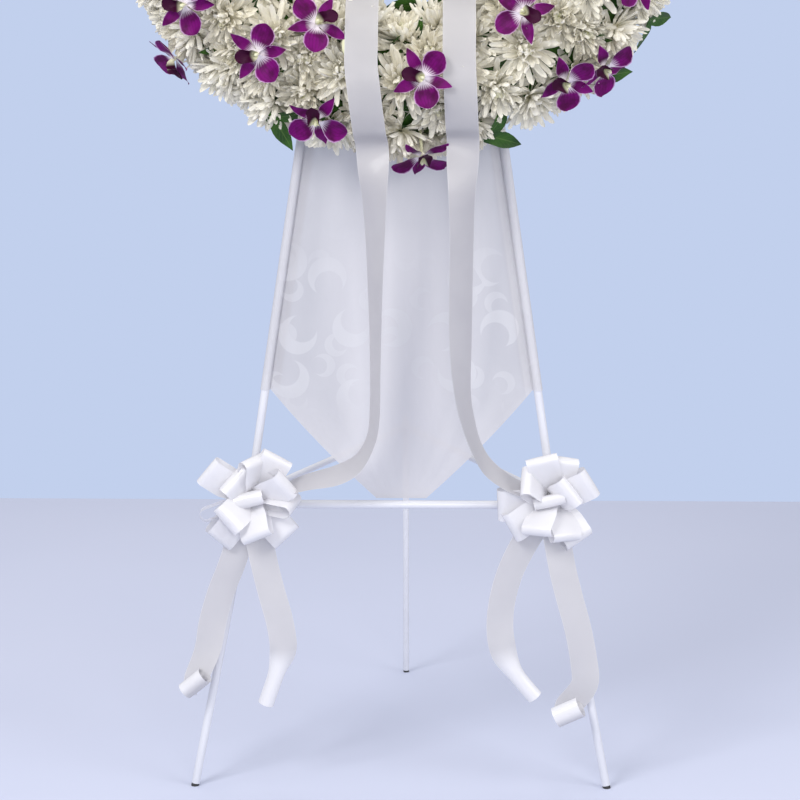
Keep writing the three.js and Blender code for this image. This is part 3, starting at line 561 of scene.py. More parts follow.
@dataclass(frozen=True)
class Organza(Finish):
    """Sheer woven cloth with a scatter of pale crescents. It is painted lighter towards its point,
    down its middle and over the uprights, with a painted shadow line along the hem.
    """

    colour: Triple = (0.635, 0.63, 0.66)
    shade: Triple = (0.60, 0.595, 0.63)
    # painted light: a lighter tone laid on towards the cloth's point and down its middle
    point: Triple = (0.765, 0.75, 0.775)
    motif: Triple = (0.76, 0.76, 0.785)
    lit_over_tube: Triple = (0.78, 0.78, 0.815)
    cover: float = 0.86
    hem: float = 0.017
    large: tuple[float, float] = (15.0, 0.36)
    small: tuple[float, float] = (23.0, 0.33)
    threads: float = 4200.0

    def crescents(self, graph: Graph, where: Wire, scale: float, reach: float) -> Wire:
        """Crescents of many turns, one in a cell.

        Args:
            graph: The graph that they are added to.
            where: The cloth's own coordinates.
            scale: Cells in a metre.
            reach: A crescent's outer radius, as a share of a cell.

        Returns:
            1 inside a crescent, 0 outside.
        """
        cells = graph.node(
            "ShaderNodeTexVoronoi", {"voronoi_dimensions": "2D"},
            {"Vector": where, "Scale": scale, "Randomness": 0.75}, output="Position",
        )
        draw = Wire(graph, cells.socket.node.outputs["Color"])
        centre = self._vector(graph, "SCALE", cells, scale)
        local = self._vector(graph, "SUBTRACT", self._vector(graph, "SCALE", where, scale), centre)
        outer = self._length(graph, local)
        parts = graph.node("ShaderNodeSeparateColor", inputs={0: draw})
        turn = parts * (2 * math.pi)
        shift = graph.node(
            "ShaderNodeCombineXYZ",
            inputs={
                0: (turn + math.pi / 2).sine() * (reach * 0.42), 1: turn.sine() * (reach * 0.42),
            },
        )
        inner = self._length(graph, self._vector(graph, "SUBTRACT", local, shift))
        disc = 1.0 - outer.ramp(reach * 0.92, reach)
        bite = inner.ramp(reach * 0.66, reach * 0.74)
        chosen = Wire(graph, parts.socket.node.outputs[1]) > 0.22
        return disc * bite * chosen

    @staticmethod
    def _vector(graph: Graph, operation: str, first: Wire, second: Value) -> Wire:
        """A Vector Math node that gives a vector."""
        place = "Scale" if operation == "SCALE" else 1
        return graph.node(
            "ShaderNodeVectorMath", {"operation": operation}, {0: first, place: second}
        )

    @staticmethod
    def _length(graph: Graph, vector: Wire) -> Wire:
        """How long a vector is."""
        return graph.node(
            "ShaderNodeVectorMath", {"operation": "LENGTH"}, {0: vector}, output="Value"
        )

    def dress(self, graph: Graph) -> None:
        """Adds the organza's nodes."""
        where = graph.node("ShaderNodeUVMap")
        across, along = graph.uv()
        inboard = graph.attribute("inboard")
        large = self.crescents(graph, where, *self.large)
        small = self.crescents(graph, where, *self.small)
        printed = along.ramp(0.10, 0.2) * (1.0 - along.ramp(0.29, 0.34))
        motif = graph.most(large * 0.55, small * 0.4) * printed
        hem = (1.0 - inboard.ramp(self.hem - 0.001, self.hem)) * (across > 0.5)
        # painted shadow: a darker line along the inner edge of the hem
        hem_shadow = hem * inboard.ramp(self.hem - 0.003, self.hem - 0.001)
        warp = (across * self.threads).sine() * (along * self.threads).sine()
        cloud = graph.noise(graph.objects(), 12.0, 3.0)
        colour = graph.mix(cloud.ramp(0.3, 0.8) * 0.6, self.colour, self.shade)
        # painted light: the cloth is lighter towards its point and down its middle, against the
        # shade there
        central = 1.0 - (across - 0.5).size().ramp(0.03, 0.12)
        low = graph.most(along.ramp(0.25, 0.42), along.ramp(0.04, 0.16) * central)
        low = graph.most(low, central * 0.55)
        colour = graph.mix(low, colour, self.point)
        colour = graph.mix(motif, colour, self.motif)
        colour = graph.mix(hem * 0.3, colour, self.motif)
        colour = graph.mix(hem_shadow * 0.6, colour, self.shade)
        # painted light: lighter where the cloth lies over an upright
        colour = graph.mix((1.0 - inboard.ramp(0.003, 0.0055)) * 0.9, colour, self.lit_over_tube)
        cover = self.cover + warp * 0.04 + motif * 0.08 + hem * 0.06
        graph.surface(
            through=0.35, Base_Color=colour, Roughness=0.7, Alpha=cover, Specular_IOR_Level=0.2,
            Normal=graph.bump(motif + warp * 0.1, 0.15, 0.0003),
        )


@dataclass(frozen=True)
class Floor(Finish):
    """A plain pale floor with the faintest unevenness."""

    colour: Triple = (0.515, 0.550, 0.695)

    def dress(self, graph: Graph) -> None:
        """Adds the floor's nodes."""
        cloud = graph.noise(graph.objects(), 1.3, 2.0)
        graph.surface(
            Base_Color=graph.mix(cloud.ramp(0.3, 0.7), self.colour, (0.53, 0.563, 0.705)),
            Roughness=0.85,
        )


class Form:
    """A growing mesh in the stand's millimetres, with numbers that its finish reads."""

    def __init__(self) -> None:
        """Starts with nothing in it."""
        self.bm = bmesh.new()
        self.across = self.bm.verts.layers.float.new("across")
        self.along = self.bm.verts.layers.float.new("along")

    def number(self, name: str) -> bmesh.types.BMLayerItem:
        """The layer of a number that each vertex carries, made when it is first asked for."""
        layers = self.bm.verts.layers.float
        return layers.get(name) or layers.new(name)

    def loft(self, rows: Sequence[Row], around: bool = False, reach: float = 1.0) -> None:
        """A surface through rows of points, each extruded from the one before.

        Args:
            rows: The rows, all of one length.
            around: Whether each row closes on itself.
            reach: The last row's coordinate along the surface.
        """
        count = len(rows[0])
        front = [self.bm.verts.new(point) for point in rows[0]]
        ends = range(count) if around else range(count - 1)
        edges = [self.bm.edges.new((front[i], front[(i + 1) % count])) for i in ends]
        self._mark(front, 0.0)
        for k, row in enumerate(rows[1:], 1):
            made = bmesh.ops.extrude_edge_only(self.bm, edges=edges)["geom"]
            fresh = {item for item in made if isinstance(item, bmesh.types.BMVert)}
            edges = [
                item
                for item in made
                if isinstance(item, bmesh.types.BMEdge) and set(item.verts) <= fresh
            ]
            front = [
                next(e.other_vert(vert) for e in vert.link_edges if e.other_vert(vert) in fresh)
                for vert in front
            ]
            for vert, point in zip(front, row):
                vert.co = point
            self._mark(front, reach * k / (len(rows) - 1))

    def _mark(self, front: Sequence[bmesh.types.BMVert], along: float) -> None:
        """Writes a row's coordinates across and along the surface.

        Args:
            front: The row's vertices.
            along: Its coordinate along the surface.
        """
        for i, vert in enumerate(front):
            vert[self.across] = i / (len(front) - 1)
            vert[self.along] = along

    def soften(self, edges: Iterable[bmesh.types.BMEdge], width: float) -> None:
        """Rounds edges off."""
        bmesh.ops.bevel(
            self.bm, geom=list(edges), offset=width, segments=2, profile=0.5, affect="EDGES",
            material=-1,
        )

    def rod(
        self, start: Vector, end: Vector, radius: float, sides: int = 32, rim: float = 0.6
    ) -> None:
        """A round bar between two points, with softened ends.

        Args:
            start: One end of its axis.
            end: The other end.
            radius: Its radius.
            sides: Flats round it.
            rim: The width of the softened edge at each end.
        """
        axis = end - start
        turn = axis.to_track_quat("Z", "Y").to_matrix().to_4x4()
        made = bmesh.ops.create_cone(
            self.bm, cap_ends=True, segments=sides, radius1=radius, radius2=radius,
            depth=axis.length, matrix=Matrix.Translation((start + end) / 2) @ turn,
        )
        around = edges_at(made["verts"])
        rims = {edge for edge in around if any(len(face.verts) > 4 for face in edge.link_faces)}
        self.soften(rims, rim)

    def bead(self, centre: Vector, axis: Vector, radius: float, thickness: float) -> None:
        """A ring of weld or a rolled rim about an axis.

        Args:
            centre: The ring's middle.
            axis: The direction it turns about.
            radius: From the axis to the middle of the bead.
            thickness: The bead's own radius.
        """
        turn = axis.to_track_quat("Z", "Y").to_matrix().to_4x4()
        side = turn @ Vector((1, 0, 0))
        ring = bmesh.ops.create_circle(
            self.bm,
            segments=10,
            radius=thickness,
            matrix=Matrix.Translation(centre + side * radius)
            @ turn
            @ Matrix.Rotation(math.pi / 2, 4, "X"),
        )
        verts = ring["verts"]
        bmesh.ops.spin(
            self.bm, geom=verts + list(edges_at(verts)), cent=centre, axis=axis.normalized(),
            angle=2 * math.pi, steps=32, use_merge=True,
        )

    def turned(self, section: Row, steps: int) -> None:
        """A closed ring spun about the wreath's own axis.

        Args:
            section: The corners of its cross-section, as (radius, 0, height).
            steps: Pieces round the full turn.
        """
        verts = [self.bm.verts.new(point) for point in section]
        edges = [
            self.bm.edges.new((verts[i], verts[(i + 1) % len(verts)])) for i in range(len(verts))
        ]
        bmesh.ops.spin(
            self.bm, geom=verts + edges, cent=(0, 0, 0), axis=(0, 0, 1), angle=2 * math.pi,
            steps=steps, use_merge=True,
        )

    def add(self, other: bpy.types.Mesh, place: Matrix, **numbers: float) -> None:
        """A copy of a finished mesh, set in place.

        Args:
            other: The mesh.
            place: Where the copy goes.
            numbers: Numbers that all its vertices carry.
        """
        before = len(self.bm.verts)
        self.bm.from_mesh(other)
        self.bm.verts.ensure_lookup_table()
        fresh = self.bm.verts[before:]
        bmesh.ops.transform(self.bm, matrix=place, verts=fresh)
        for name, value in numbers.items():
            layer = self.number(name)
            for vert in fresh:
                vert[layer] = value

    def move(self, place: Matrix) -> None:
        """Sets the whole form in place."""
        bmesh.ops.transform(self.bm, matrix=place, verts=self.bm.verts)

    def face_out(self) -> None:
        """Merges doubles and turns the closed surfaces to face outwards."""
        bmesh.ops.remove_doubles(self.bm, verts=self.bm.verts, dist=0.01)
        bmesh.ops.recalc_face_normals(self.bm, faces=self.bm.faces)

    def to_mesh(self, name: str) -> bpy.types.Mesh:
        """Ends the form.

        Args:
            name: The mesh's name.

        Returns:
            The mesh, smooth, with its UV map written from the two coordinates.
        """
        uv = self.bm.loops.layers.uv.get("UVMap") or self.bm.loops.layers.uv.new("UVMap")
        for face in self.bm.faces:
            face.smooth = True
            for loop in face.loops:
                loop[uv].uv = (loop.vert[self.across], loop.vert[self.along])
        mesh = bpy.data.meshes.new(name)
        self.bm.to_mesh(mesh)
        self.bm.free()
        return mesh


class Bench:
    """Where forms become pieces of the stand, in metres and in the part's frame."""

    def __init__(self) -> None:
        """Finds where the stand's own measures lie in the part's frame."""
        low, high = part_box("crossbar")
        offset = (low + high) / 2 - Vector((0, 0, CROSSBAR_HEIGHT * 0.001))
        self.place = Matrix.Translation(offset) @ Matrix.Scale(0.001, 4)

    def metres(self, point: Vector) -> Vector:
        """A point of the stand's measures in the part's frame."""
        return self.place @ point

    def piece(
        self, form: Form, name: str, node: str, slot: str, *finishes: Material,
        sharp: float | None = None,
    ) -> bpy.types.Object:
        """Makes a piece that rides on the stand.

        Args:
            form: Its shape.
            name: Its name.
            node: The CAD node that it stands for.
            slot: The record's material slot; not used.
            finishes: Its materials, in the order of the form's material numbers.
            sharp: Degrees past which an edge is left sharp.

        Returns:
            The piece.
        """
        form.move(self.place)
        mesh = form.to_mesh(name)
        if sharp is not None:
            mesh.set_sharp_from_angle(angle=math.radians(sharp))
        for material in finishes:
            mesh.materials.append(material)
        made = bpy.data.objects.new(name, mesh)
        bpy.context.scene.collection.objects.link(made)
        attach(made, "root")
        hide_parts(node)
        LOG.info("%s: %d faces", name, len(mesh.polygons))
        return made


def made_of(finish: Finish) -> Material:
    """A field for a finish's material, which is made with the palette."""
    return field(default_factory=finish.make)


@dataclass
class Palette:
    """The materials, each made once."""

    enamel: Material = made_of(Enamel("white_enamel"))
    rubber: Material = made_of(Plastic("dark_caps"))
    tray: Material = made_of(Plastic("tray_plastic", (0.012, 0.035, 0.016), (0.025, 0.06, 0.028)))
    foam: Material = made_of(WetFoam("wet_foam"))
    petal: Material = made_of(ChrysanthemumPetal("white_petal"))
    orchid: Material = made_of(OrchidPetal("orchid_petal"))
    leaf: Material = made_of(Leaf("leaf"))
    satin: Material = made_of(Satin("satin"))
    organza: Material = made_of(Organza("organza"))
    floor: Material = made_of(Floor("floor"))


@dataclass
class Maker:
    """What makes one part of the stand, with the bench and the materials that it uses."""

    bench: Bench
    palette: Palette


@dataclass
class TubeFrame(Maker):
    """The steel tripod: legs with sockets, uprights, arch, crossbar, braces and hook."""

    socket_below: float = 10.0
    socket_grip: float = 4.0
    rim_bead: float = 0.9
    leg_weld: tuple[float, float] = (8.0, 1.1)
    bar_start: float = 5.0
    bar_weld: tuple[float, float] = (7.4, 1.2)
    back_rise: float = 14.0
    back_weld: tuple[float, float] = (6.0, 1.0)
    brace_ends: tuple[float, float] = (7.0, 4.6)
    brace_weld: tuple[float, float] = (8.2, 1.1)
    hook_route: tuple[tuple[float, float], ...] = (
        (0, -TUBE_RADIUS - GAP), (0, 20), (0, 52), (6, 60), (16, 63),
    )
    hook_sides: int = 20

    def build(self) -> None:
        """Makes every tube and its foot."""
        for side in Side:
            self._leg(side)
            self._brace(side)
        self._crossbar()
        self._back_leg()
        self._arch()
        self._hanger()

    def _corner(self, side: Side) -> Vector:
        """Where a leg, the crossbar and an upright meet."""
        return Vector((side.value * CORNER_HALF_WIDTH, 0, CROSSBAR_HEIGHT))

    def _finish(self, form: Form, node: str) -> None:
        """Makes an enamelled piece that stands for one node.

        Args:
            form: Its shape.
            node: The node's name.
        """
        self.bench.piece(form, f"{node}_tube", node, "white_paint", self.palette.enamel, sharp=50)

    @staticmethod
    def _weld(
        form: Form, start: Vector, end: Vector, radius: float, size: tuple[float, float]
    ) -> None:
        """A bead of weld round a tube.

        Args:
            form: The tube.
            start: The joint's middle.
            end: A place that the tube runs to.
            radius: The tube's radius.
            size: How far the bead is from the joint, and its own radius.
        """
        form.bead(towards(start, end, size[0]), end - start, radius, size[1])

    def _leg(self, side: Side) -> None:
        """One lower leg with its socket, its upright and its foot.

        Args:
            side: The side that it stands on.
        """
        corner = self._corner(side)
        foot = Vector((side.value * FOOT_HALF_WIDTH, FOOT_FRONT, 0))
        top = leaning(side.value * ARCH_HALF_WIDTH, ARCH_HEIGHT)
        leg = Form()
        self._open_tube(leg, towards(foot, corner, PLUG_HEAD + GAP), corner, TUBE_RADIUS)
        mouth = towards(corner, top, SOCKET_LENGTH)
        leg.rod(towards(corner, top, -self.socket_below), mouth, SOCKET_RADIUS)
        lip = towards(corner, top, SOCKET_LENGTH - 1)
        leg.bead(lip, top - corner, SOCKET_RADIUS - 0.4, self.rim_bead)
        self._weld(leg, corner, foot, TUBE_RADIUS, self.leg_weld)
        self._finish(leg, f"lower_leg_{side.word}")
        upright = Form()
        gripped = towards(corner, top, SOCKET_LENGTH - self.socket_grip)
        upright.rod(gripped, towards(top, corner, GAP), TUBE_RADIUS)
        self._finish(upright, f"upright_{side.word}")
        self._foot(f"foot_{side.word}", foot, corner, TUBE_RADIUS)

    def _foot(self, node: str, foot: Vector, above: Vector, radius: float) -> None:
        """A dark plug in a leg's open end, cut flat on the floor.

        Args:
            node: The node that it stands for.
            foot: Where the leg's axis meets the floor.
            above: A place higher up on the axis.
            radius: The leg's outer radius.
        """
        plug = Form()
        head = towards(foot, above, PLUG_HEAD)
        plug.rod(towards(foot, above, -radius), head, radius - 0.2, rim=0.4)
        plug.rod(foot, towards(foot, above, PLUG_LENGTH), radius - TUBE_WALL - GAP, rim=0.3)
        bmesh.ops.bisect_plane(
            plug.bm, geom=plug.bm.verts[:] + plug.bm.edges[:] + plug.bm.faces[:],
            plane_co=(0, 0, 0), plane_no=(0, 0, -1), clear_outer=True,
        )
        bmesh.ops.holes_fill(plug.bm, edges=plug.bm.edges, sides=0)
        self.bench.piece(plug, f"{node}_plug", node, "dark_plastic", self.palette.rubber, sharp=45)

    @staticmethod
    def _open_tube(form: Form, low: Vector, high: Vector, radius: float) -> None:
        """A tube whose lower end is open, with the inside drawn up past the plug.

        Args:
            form: What it joins.
            low: The open end.
            high: The other end.
            radius: Its outer radius.
        """
        form.rod(low, high, radius)
        form.bm.faces.ensure_lookup_table()
        ends = [face for face in form.bm.faces if len(face.verts) > 4]
        mouth = min(ends, key=lambda face: (face.calc_center_median() - low).length)
        bmesh.ops.inset_region(form.bm, faces=[mouth], thickness=TUBE_WALL - 0.6, depth=0)
        made = bmesh.ops.extrude_discrete_faces(form.bm, faces=[mouth])
        inner = [vert for face in made["faces"] for vert in face.verts]
        bmesh.ops.translate(form.bm, verts=inner, vec=(high - low).normalized() * PLUG_LENGTH * 1.2)

    def _crossbar(self) -> None:
        """The crossbar, with a weld bead at each end."""
        form = Form()
        left, right = self._corner(Side.LEFT), self._corner(Side.RIGHT)
        start = self.bar_start
        form.rod(towards(left, right, start), towards(right, left, start), TUBE_RADIUS)
        self._weld(form, left, right, TUBE_RADIUS, self.bar_weld)
        self._weld(form, right, left, TUBE_RADIUS, self.bar_weld)
        self._finish(form, "crossbar")

    def _back_leg(self) -> None:
        """The back leg and its foot."""
        foot = Vector((0, FOOT_BACK, 0))
        apex = Vector((0, APEX_BACK, BRACE_HEIGHT))
        form = Form()
        low = towards(foot, apex, PLUG_HEAD + GAP)
        self._open_tube(form, low, towards(apex, foot, -self.back_rise), BRACE_RADIUS)
        self._weld(form, apex, foot, BRACE_RADIUS, self.back_weld)
        self._finish(form, "back_leg")
        self._foot("foot_back", foot, apex, BRACE_RADIUS)

    def _brace(self, side: Side) -> None:
        """One brace from the crossbar's end back to the back leg.

        Args:
            side: The side that it starts on.
        """
        start = Vector((side.value * CORNER_HALF_WIDTH, 0, BRACE_HEIGHT))
        apex = Vector((0, APEX_BACK, BRACE_HEIGHT))
        form = Form()
        near, far = self.brace_ends
        form.rod(towards(start, apex, near), towards(apex, start, far), BRACE_RADIUS)
        self._weld(form, start, apex, BRACE_RADIUS, self.brace_weld)
        self._finish(form, f"brace_{side.word}")

    def _arch(self) -> None:
        """The arch over the uprights, spun about the middle between them."""
        form = Form()
        centre = leaning(0, ARCH_HEIGHT)
        up = Vector((0, math.sin(LEAN), math.cos(LEAN)))
        forward = Vector((0, -math.cos(LEAN), math.sin(LEAN)))
        ring = bmesh.ops.create_circle(
            form.bm,
            segments=24,
            radius=TUBE_RADIUS,
            cap_ends=True,
            matrix=Matrix.Translation(centre + Vector((ARCH_HALF_WIDTH, 0, 0)) + up * GAP)
            @ up.to_track_quat("Z", "Y").to_matrix().to_4x4(),
        )
        faces = {face for vert in ring["verts"] for face in vert.link_faces}
        bmesh.ops.spin(
            form.bm, geom=ring["verts"] + list(edges_at(ring["verts"])) + list(faces),
            cent=centre + up * GAP, axis=forward, angle=math.pi, steps=24,
        )
        form.face_out()
        self._finish(form, "top_arch")

    def _hanger(self) -> None:
        """The bar between the uprights and the hook that the wreath hangs on."""
        radial = RING_RADIUS - TRAY_HALF_WIDTH - 4 - 2 * GAP
        level = (WREATH @ Vector((0, radial - 1, -TUBE_RADIUS - GAP))).z
        half = upright_half(level) - TUBE_RADIUS - GAP
        form = Form()
        form.rod(leaning(-half, level), leaning(half, level), BRACE_RADIUS)
        route = [WREATH @ Vector((0, radial + rise, z)) for rise, z in self.hook_route]
        line = smooth_path(route, 8)
        turns = [2 * math.pi * k / self.hook_sides for k in range(self.hook_sides)]
        rows = []
        for i, point in enumerate(line):
            side = Vector((1, 0, 0))
            other = run_at(line, i).cross(side)
            rows.append(
                [
                    point
                    + side * (BRACE_RADIUS * math.cos(turn))
                    + other * (BRACE_RADIUS * math.sin(turn))
                    for turn in turns
                ]
            )
        form.loft(rows, around=True)
        bmesh.ops.holes_fill(form.bm, edges=form.bm.edges, sides=0)
        form.face_out()
        self._finish(form, "hanger_hook")


@dataclass
class WreathBase(Maker):
    """The ring of the wreath: its moulded tray and the foam in it."""

    ribs: int = 24
    foam_half: float = 50.0
    steps: int = 128

    def build(self) -> None:
        """Makes the tray and the foam."""
        self._tray()
        self._foam()

    def _tray(self) -> None:
        """A moulded channel with rolled rims, spun round, and ribs across its back."""
        low, high = RING_RADIUS - TRAY_HALF_WIDTH, RING_RADIUS + TRAY_HALF_WIDTH
        wall = TRAY_WALL
        corners = [
            (low, 0.0), (high, 0.0), (high, TRAY_DEPTH), (high - wall, TRAY_DEPTH),
            (high - wall, wall), (low + wall, wall), (low + wall, TRAY_DEPTH), (low, TRAY_DEPTH),
        ]
        form = Form()
        form.turned([Vector((radius, 0, z)) for radius, z in corners], self.steps)
        form.face_out()
        sharp = [edge for edge in form.bm.edges if edge.calc_face_angle(0) > 1.2]
        form.soften(sharp, 0.8)
        for k in range(self.ribs):
            turn = Matrix.Rotation(2 * math.pi * k / self.ribs, 4, "Z")
            place = turn @ Matrix.Translation((RING_RADIUS, 0, 0.2))
            rib = Matrix.Diagonal((2 * TRAY_HALF_WIDTH - 8, 2, 0.9, 1))
            made = bmesh.ops.create_cube(form.bm, size=1.0, matrix=place @ rib)
            form.soften(edges_at(made["verts"]), 0.3)
        form.move(WREATH)
        self.bench.piece(form, "tray_moulding", "tray", "tray_plastic", self.palette.tray, sharp=40)

    def _foam(self) -> None:
        """The foam ring, domed in front."""
        half = self.foam_half
        base = TRAY_WALL + GAP
        section = [Vector((RING_RADIUS - half, 0, base)), Vector((RING_RADIUS + half, 0, base))]
        for i in range(13):
            angle = math.pi * i / 12
            section.append(
                Vector(
                    (
                        RING_RADIUS + (half - 0.6) * math.cos(angle),
                        0,
                        SECTION_DEPTH + (half - 0.6) * math.sin(angle),
                    )
                )
            )
        form = Form()
        form.turned(section, self.steps)
        form.face_out()
        form.move(WREATH)
        self.bench.piece(form, "foam_core", "foam_ring", "wet_foam", self.palette.foam, sharp=60)


@dataclass(frozen=True)
class PetalLayer:
    """One whorl of a chrysanthemum head."""

    count: int
    length: float
    width: float
    rise: float
    curl: float
    root: float
    lift: float
    columns: int


PETAL_PROFILE = ((0.0, 0.45), (0.24, 0.66), (0.5, 0.92), (0.76, 1.0), (0.93, 0.84), (1.0, 0.36))


def blade_rows(
    length: float,
    width: float,
    curl: float,
    cup: float,
    profile: Sequence[tuple[float, float]],
    columns: int = 5,
    wave: Callable[[float, float], float] | None = None,
    sweep: float = 0.0,
) -> list[list[Vector]]:
    """Rows of points for a petal or leaf that starts at the origin and runs along X.

    Args:
        length: From its root to its tip.
        width: Its greatest width.
        curl: Degrees that it bends upwards on its way.
        cup: How far its edges rise, as a share of the half width.
        profile: Shares of the length, each with its share of the width.
        columns: Points across.
        wave: An extra rise for a place across and along.
        sweep: How far its tip bends sideways, as a share of the length.

    Returns:
        The rows from root to tip.
    """
    rows = []
    x = z = last = 0.0
    for share, breadth in profile:
        bend = math.radians(curl) * (share + last) / 2
        x += math.cos(bend) * length * (share - last)
        z += math.sin(bend) * length * (share - last)
        last = share
        normal = Vector((-math.sin(bend), 0, math.cos(bend)))
        row = []
        for q in spaced(columns):
            rise = cup * width / 2 * breadth * q * q + (wave(q, share) if wave else 0.0)
            aside = q * width / 2 * breadth + sweep * length * share * share
            row.append(Vector((x, aside, z)) + normal * rise)
        rows.append(row)
    return rows


def set_round(
    turn: float, out: float, lift: float, rise: float, twist: float = 0.0, size: float = 1.0
) -> Matrix:
    """Where a blade stands in a whorl.

    Args:
        turn: Degrees round the whorl's middle.
        out: Its root's distance from the middle.
        lift: Its root's height.
        rise: Degrees that it points up.
        twist: Degrees that it is turned about its own midrib.
        size: Its scale.

    Returns:
        The blade's place.
    """
    spin = rotation(turn, "Z") @ Matrix.Translation((out, 0, lift)) @ rotation(-rise, "Y")
    return spin @ rotation(twist, "X") @ Matrix.Scale(size, 4)


@dataclass
class Chrysanthemums(Maker):
    """White chrysanthemum heads all round the ring, in eight bunches with greenery between."""

    bunches: int = 8
    bed_outer: float = 64.0
    bed_inner: float = 54.0
    kinds: int = 6
    layers: tuple[PetalLayer, ...] = (
        PetalLayer(22, 43.0, 7.6, -14.0, 30.0, 3.0, 1.0, 5),
        PetalLayer(22, 42.0, 7.6, 4.0, 36.0, 3.0, 2.5, 5),
        PetalLayer(21, 39.0, 7.4, 19.0, 44.0, 2.6, 4.0, 5),
        PetalLayer(19, 35.0, 7.0, 33.0, 52.0, 2.4, 5.0, 5),
        PetalLayer(16, 29.0, 6.6, 47.0, 60.0, 2.2, 6.0, 5),
        PetalLayer(13, 22.0, 5.8, 60.0, 66.0, 1.8, 7.0, 3),
        PetalLayer(10, 15.0, 4.8, 70.0, 66.0, 1.3, 8.0, 3),
        PetalLayer(7, 10.0, 3.6, 80.0, 50.0, 0.7, 8.5, 3),
    )
    rows: tuple[tuple[float, tuple[int, int]], ...] = (
        (-60.0, (2, 2)), (2.0, (3, 2)), (62.0, (3, 4)),
    )
    fillers: int = 13
    tries: int = 60
    sprigs: int = 8
    sprig_droop: float = -50.0
    petal_kinds: int = 5
    turn_spread: float = 9.0
    rise_spread: float = 13.0
    twist_spread: float = 38.0
    sweep_spread: float = 0.22
    petal_sizes: tuple[float, float] = (0.8, 1.06)
    seed: int = 41

    def build(self) -> None:
        """Makes the bunches from a few kinds of head."""
        self.heads = [self._head(seed) for seed in range(self.kinds)]
        self.sprig = self._sprig()
        self.span = 360 / self.bunches
        draw = self._draws(self.seed)
        regular = [self._regular(k, draw) for k in range(self.bunches)]
        taken = [place.translation for bunch in regular for place, _ in bunch]
        for k, bunch in enumerate(regular):
            own = random.Random(100 + k)
            self._bunch(k, bunch + self._fill(k, taken, own), own)

    @staticmethod
    def _draws(seed: int) -> Callable[[], float]:
        """The same repeatable draws that place the solids' heads."""
        state = seed

        def draw() -> float:
            """The next number between 0 and 1."""
            nonlocal state
            state = (state * 1664525 + 1013904223) % 4294967296
            return state / 4294967296

        return draw

    def _head(self, seed: int) -> bpy.types.Mesh:
        """One kind of head, petal by petal.

        Args:
            seed: What its small differences are drawn from.

        Returns:
            The head's mesh, with its root at the origin and facing +Z.
        """
        draw = random.Random(seed)
        head = Form()
        head.number("depth")
        head.number("tint")
        last = len(self.layers) - 1
        for k, layer in enumerate(self.layers):
            kinds = []
            for _ in range(self.petal_kinds):
                petal = Form()
                petal.loft(
                    blade_rows(
                        layer.length, layer.width, layer.curl * draw.uniform(0.5, 1.6),
                        draw.uniform(0.5, 1.1), PETAL_PROFILE, layer.columns,
                        sweep=draw.uniform(-self.sweep_spread, self.sweep_spread),
                    )
                )
                kinds.append(petal.to_mesh("petal"))
            for i in range(layer.count):
                turn = 360 * (i + 0.5 * (k % 2)) / layer.count
                turn += draw.uniform(-self.turn_spread, self.turn_spread)
                rise = layer.rise + draw.uniform(-self.rise_spread, self.rise_spread)
                twist = draw.uniform(-self.twist_spread, self.twist_spread)
                size = draw.uniform(*self.petal_sizes)
                place = set_round(turn, layer.root, layer.lift, rise, twist, size)
                head.add(draw.choice(kinds), place, depth=k / last)
        self._calyx(head)
        return head.to_mesh(f"head_{seed}")

    def _calyx(self, head: Form) -> None:
        """The green cup and stalk under a head.

        Args:
            head: The head.
        """
        made = bmesh.ops.create_cone(
            head.bm, cap_ends=True, segments=14, radius1=2.2, radius2=13.0, depth=14.0,
            matrix=Matrix.Translation((0, 0, -4.5)),
        )
        for face in {face for vert in made["verts"] for face in vert.link_faces}:
            face.material_index = 1

    def _sprig(self) -> bpy.types.Mesh:
        """A small leaf that fills the gaps between heads."""
        form = Form()
        form.loft(blade_rows(30.0, 12.0, 22.0, 0.3, LEAF_PROFILE, 5))
        for face in form.bm.faces:
            face.material_index = 1
        return form.to_mesh("sprig")

    def _bed(self, form: Form, start: float, end: float) -> None:
        """The green bed that a bunch's heads stand in, from one angle to another.

        Args:
            form: The bunch.
            start: Where the bed starts, in degrees round the ring.
            end: Where it ends.
        """
        outline = []
        for tilt in range(-98, 99, 14):
            lean = math.radians(tilt)
            outline.append((self.bed_outer * math.sin(lean), self.bed_outer * math.cos(lean)))
        for tilt in range(90, -91, -20):
            lean = math.radians(tilt)
            outline.append((self.bed_inner * math.sin(lean), self.bed_inner * math.cos(lean)))
        outline.append(outline[0])
        rows = []
        steps = 12
        for k in range(steps + 1):
            turn = math.radians(start + (end - start) * k / steps)
            rows.append(
                [
                    WREATH
                    @ Vector(
                        (
                            (RING_RADIUS + radial) * math.cos(turn),
                            (RING_RADIUS + radial) * math.sin(turn),
                            SECTION_DEPTH + depth,
                        )
                    )
                    for radial, depth in outline
                ]
            )
        before = len(form.bm.faces)
        form.loft(rows)
        form.bm.faces.ensure_lookup_table()
        for face in form.bm.faces[before:]:
            face.material_index = 1

    def _start(self, k: int) -> float:
        """The angle where a bunch starts, counted from the bottom and round to the right."""
        return -90 + self.span * (k - 0.5)

    def _regular(self, k: int, draw: Callable[[], float]) -> list[tuple[Matrix, float]]:
        """A bunch's heads in rows, where the solids have theirs.

        Args:
            k: The bunch's number.
            draw: Where its small differences come from.

        Returns:
            Each head's place and shade.
        """
        heads = []
        for tilt, numbers in self.rows:
            number = numbers[k % 2]
            for i in range(number):
                angle = self._start(k) + self.span * (i + 0.5 + (draw() - 0.5) * 0.1) / number
                lean = tilt + (draw() - 0.5) * 6
                size = 0.95 + 0.1 * draw()
                for _ in range(20):
                    draw()
                place = ring_frame(angle, lean, self.bed_outer, math.degrees(draw() * math.pi))
                shade = 0.15 + 0.3 * ((3 * i + k) % 4) / 3
                heads.append((place @ Matrix.Scale(size, 4), shade))
        return heads

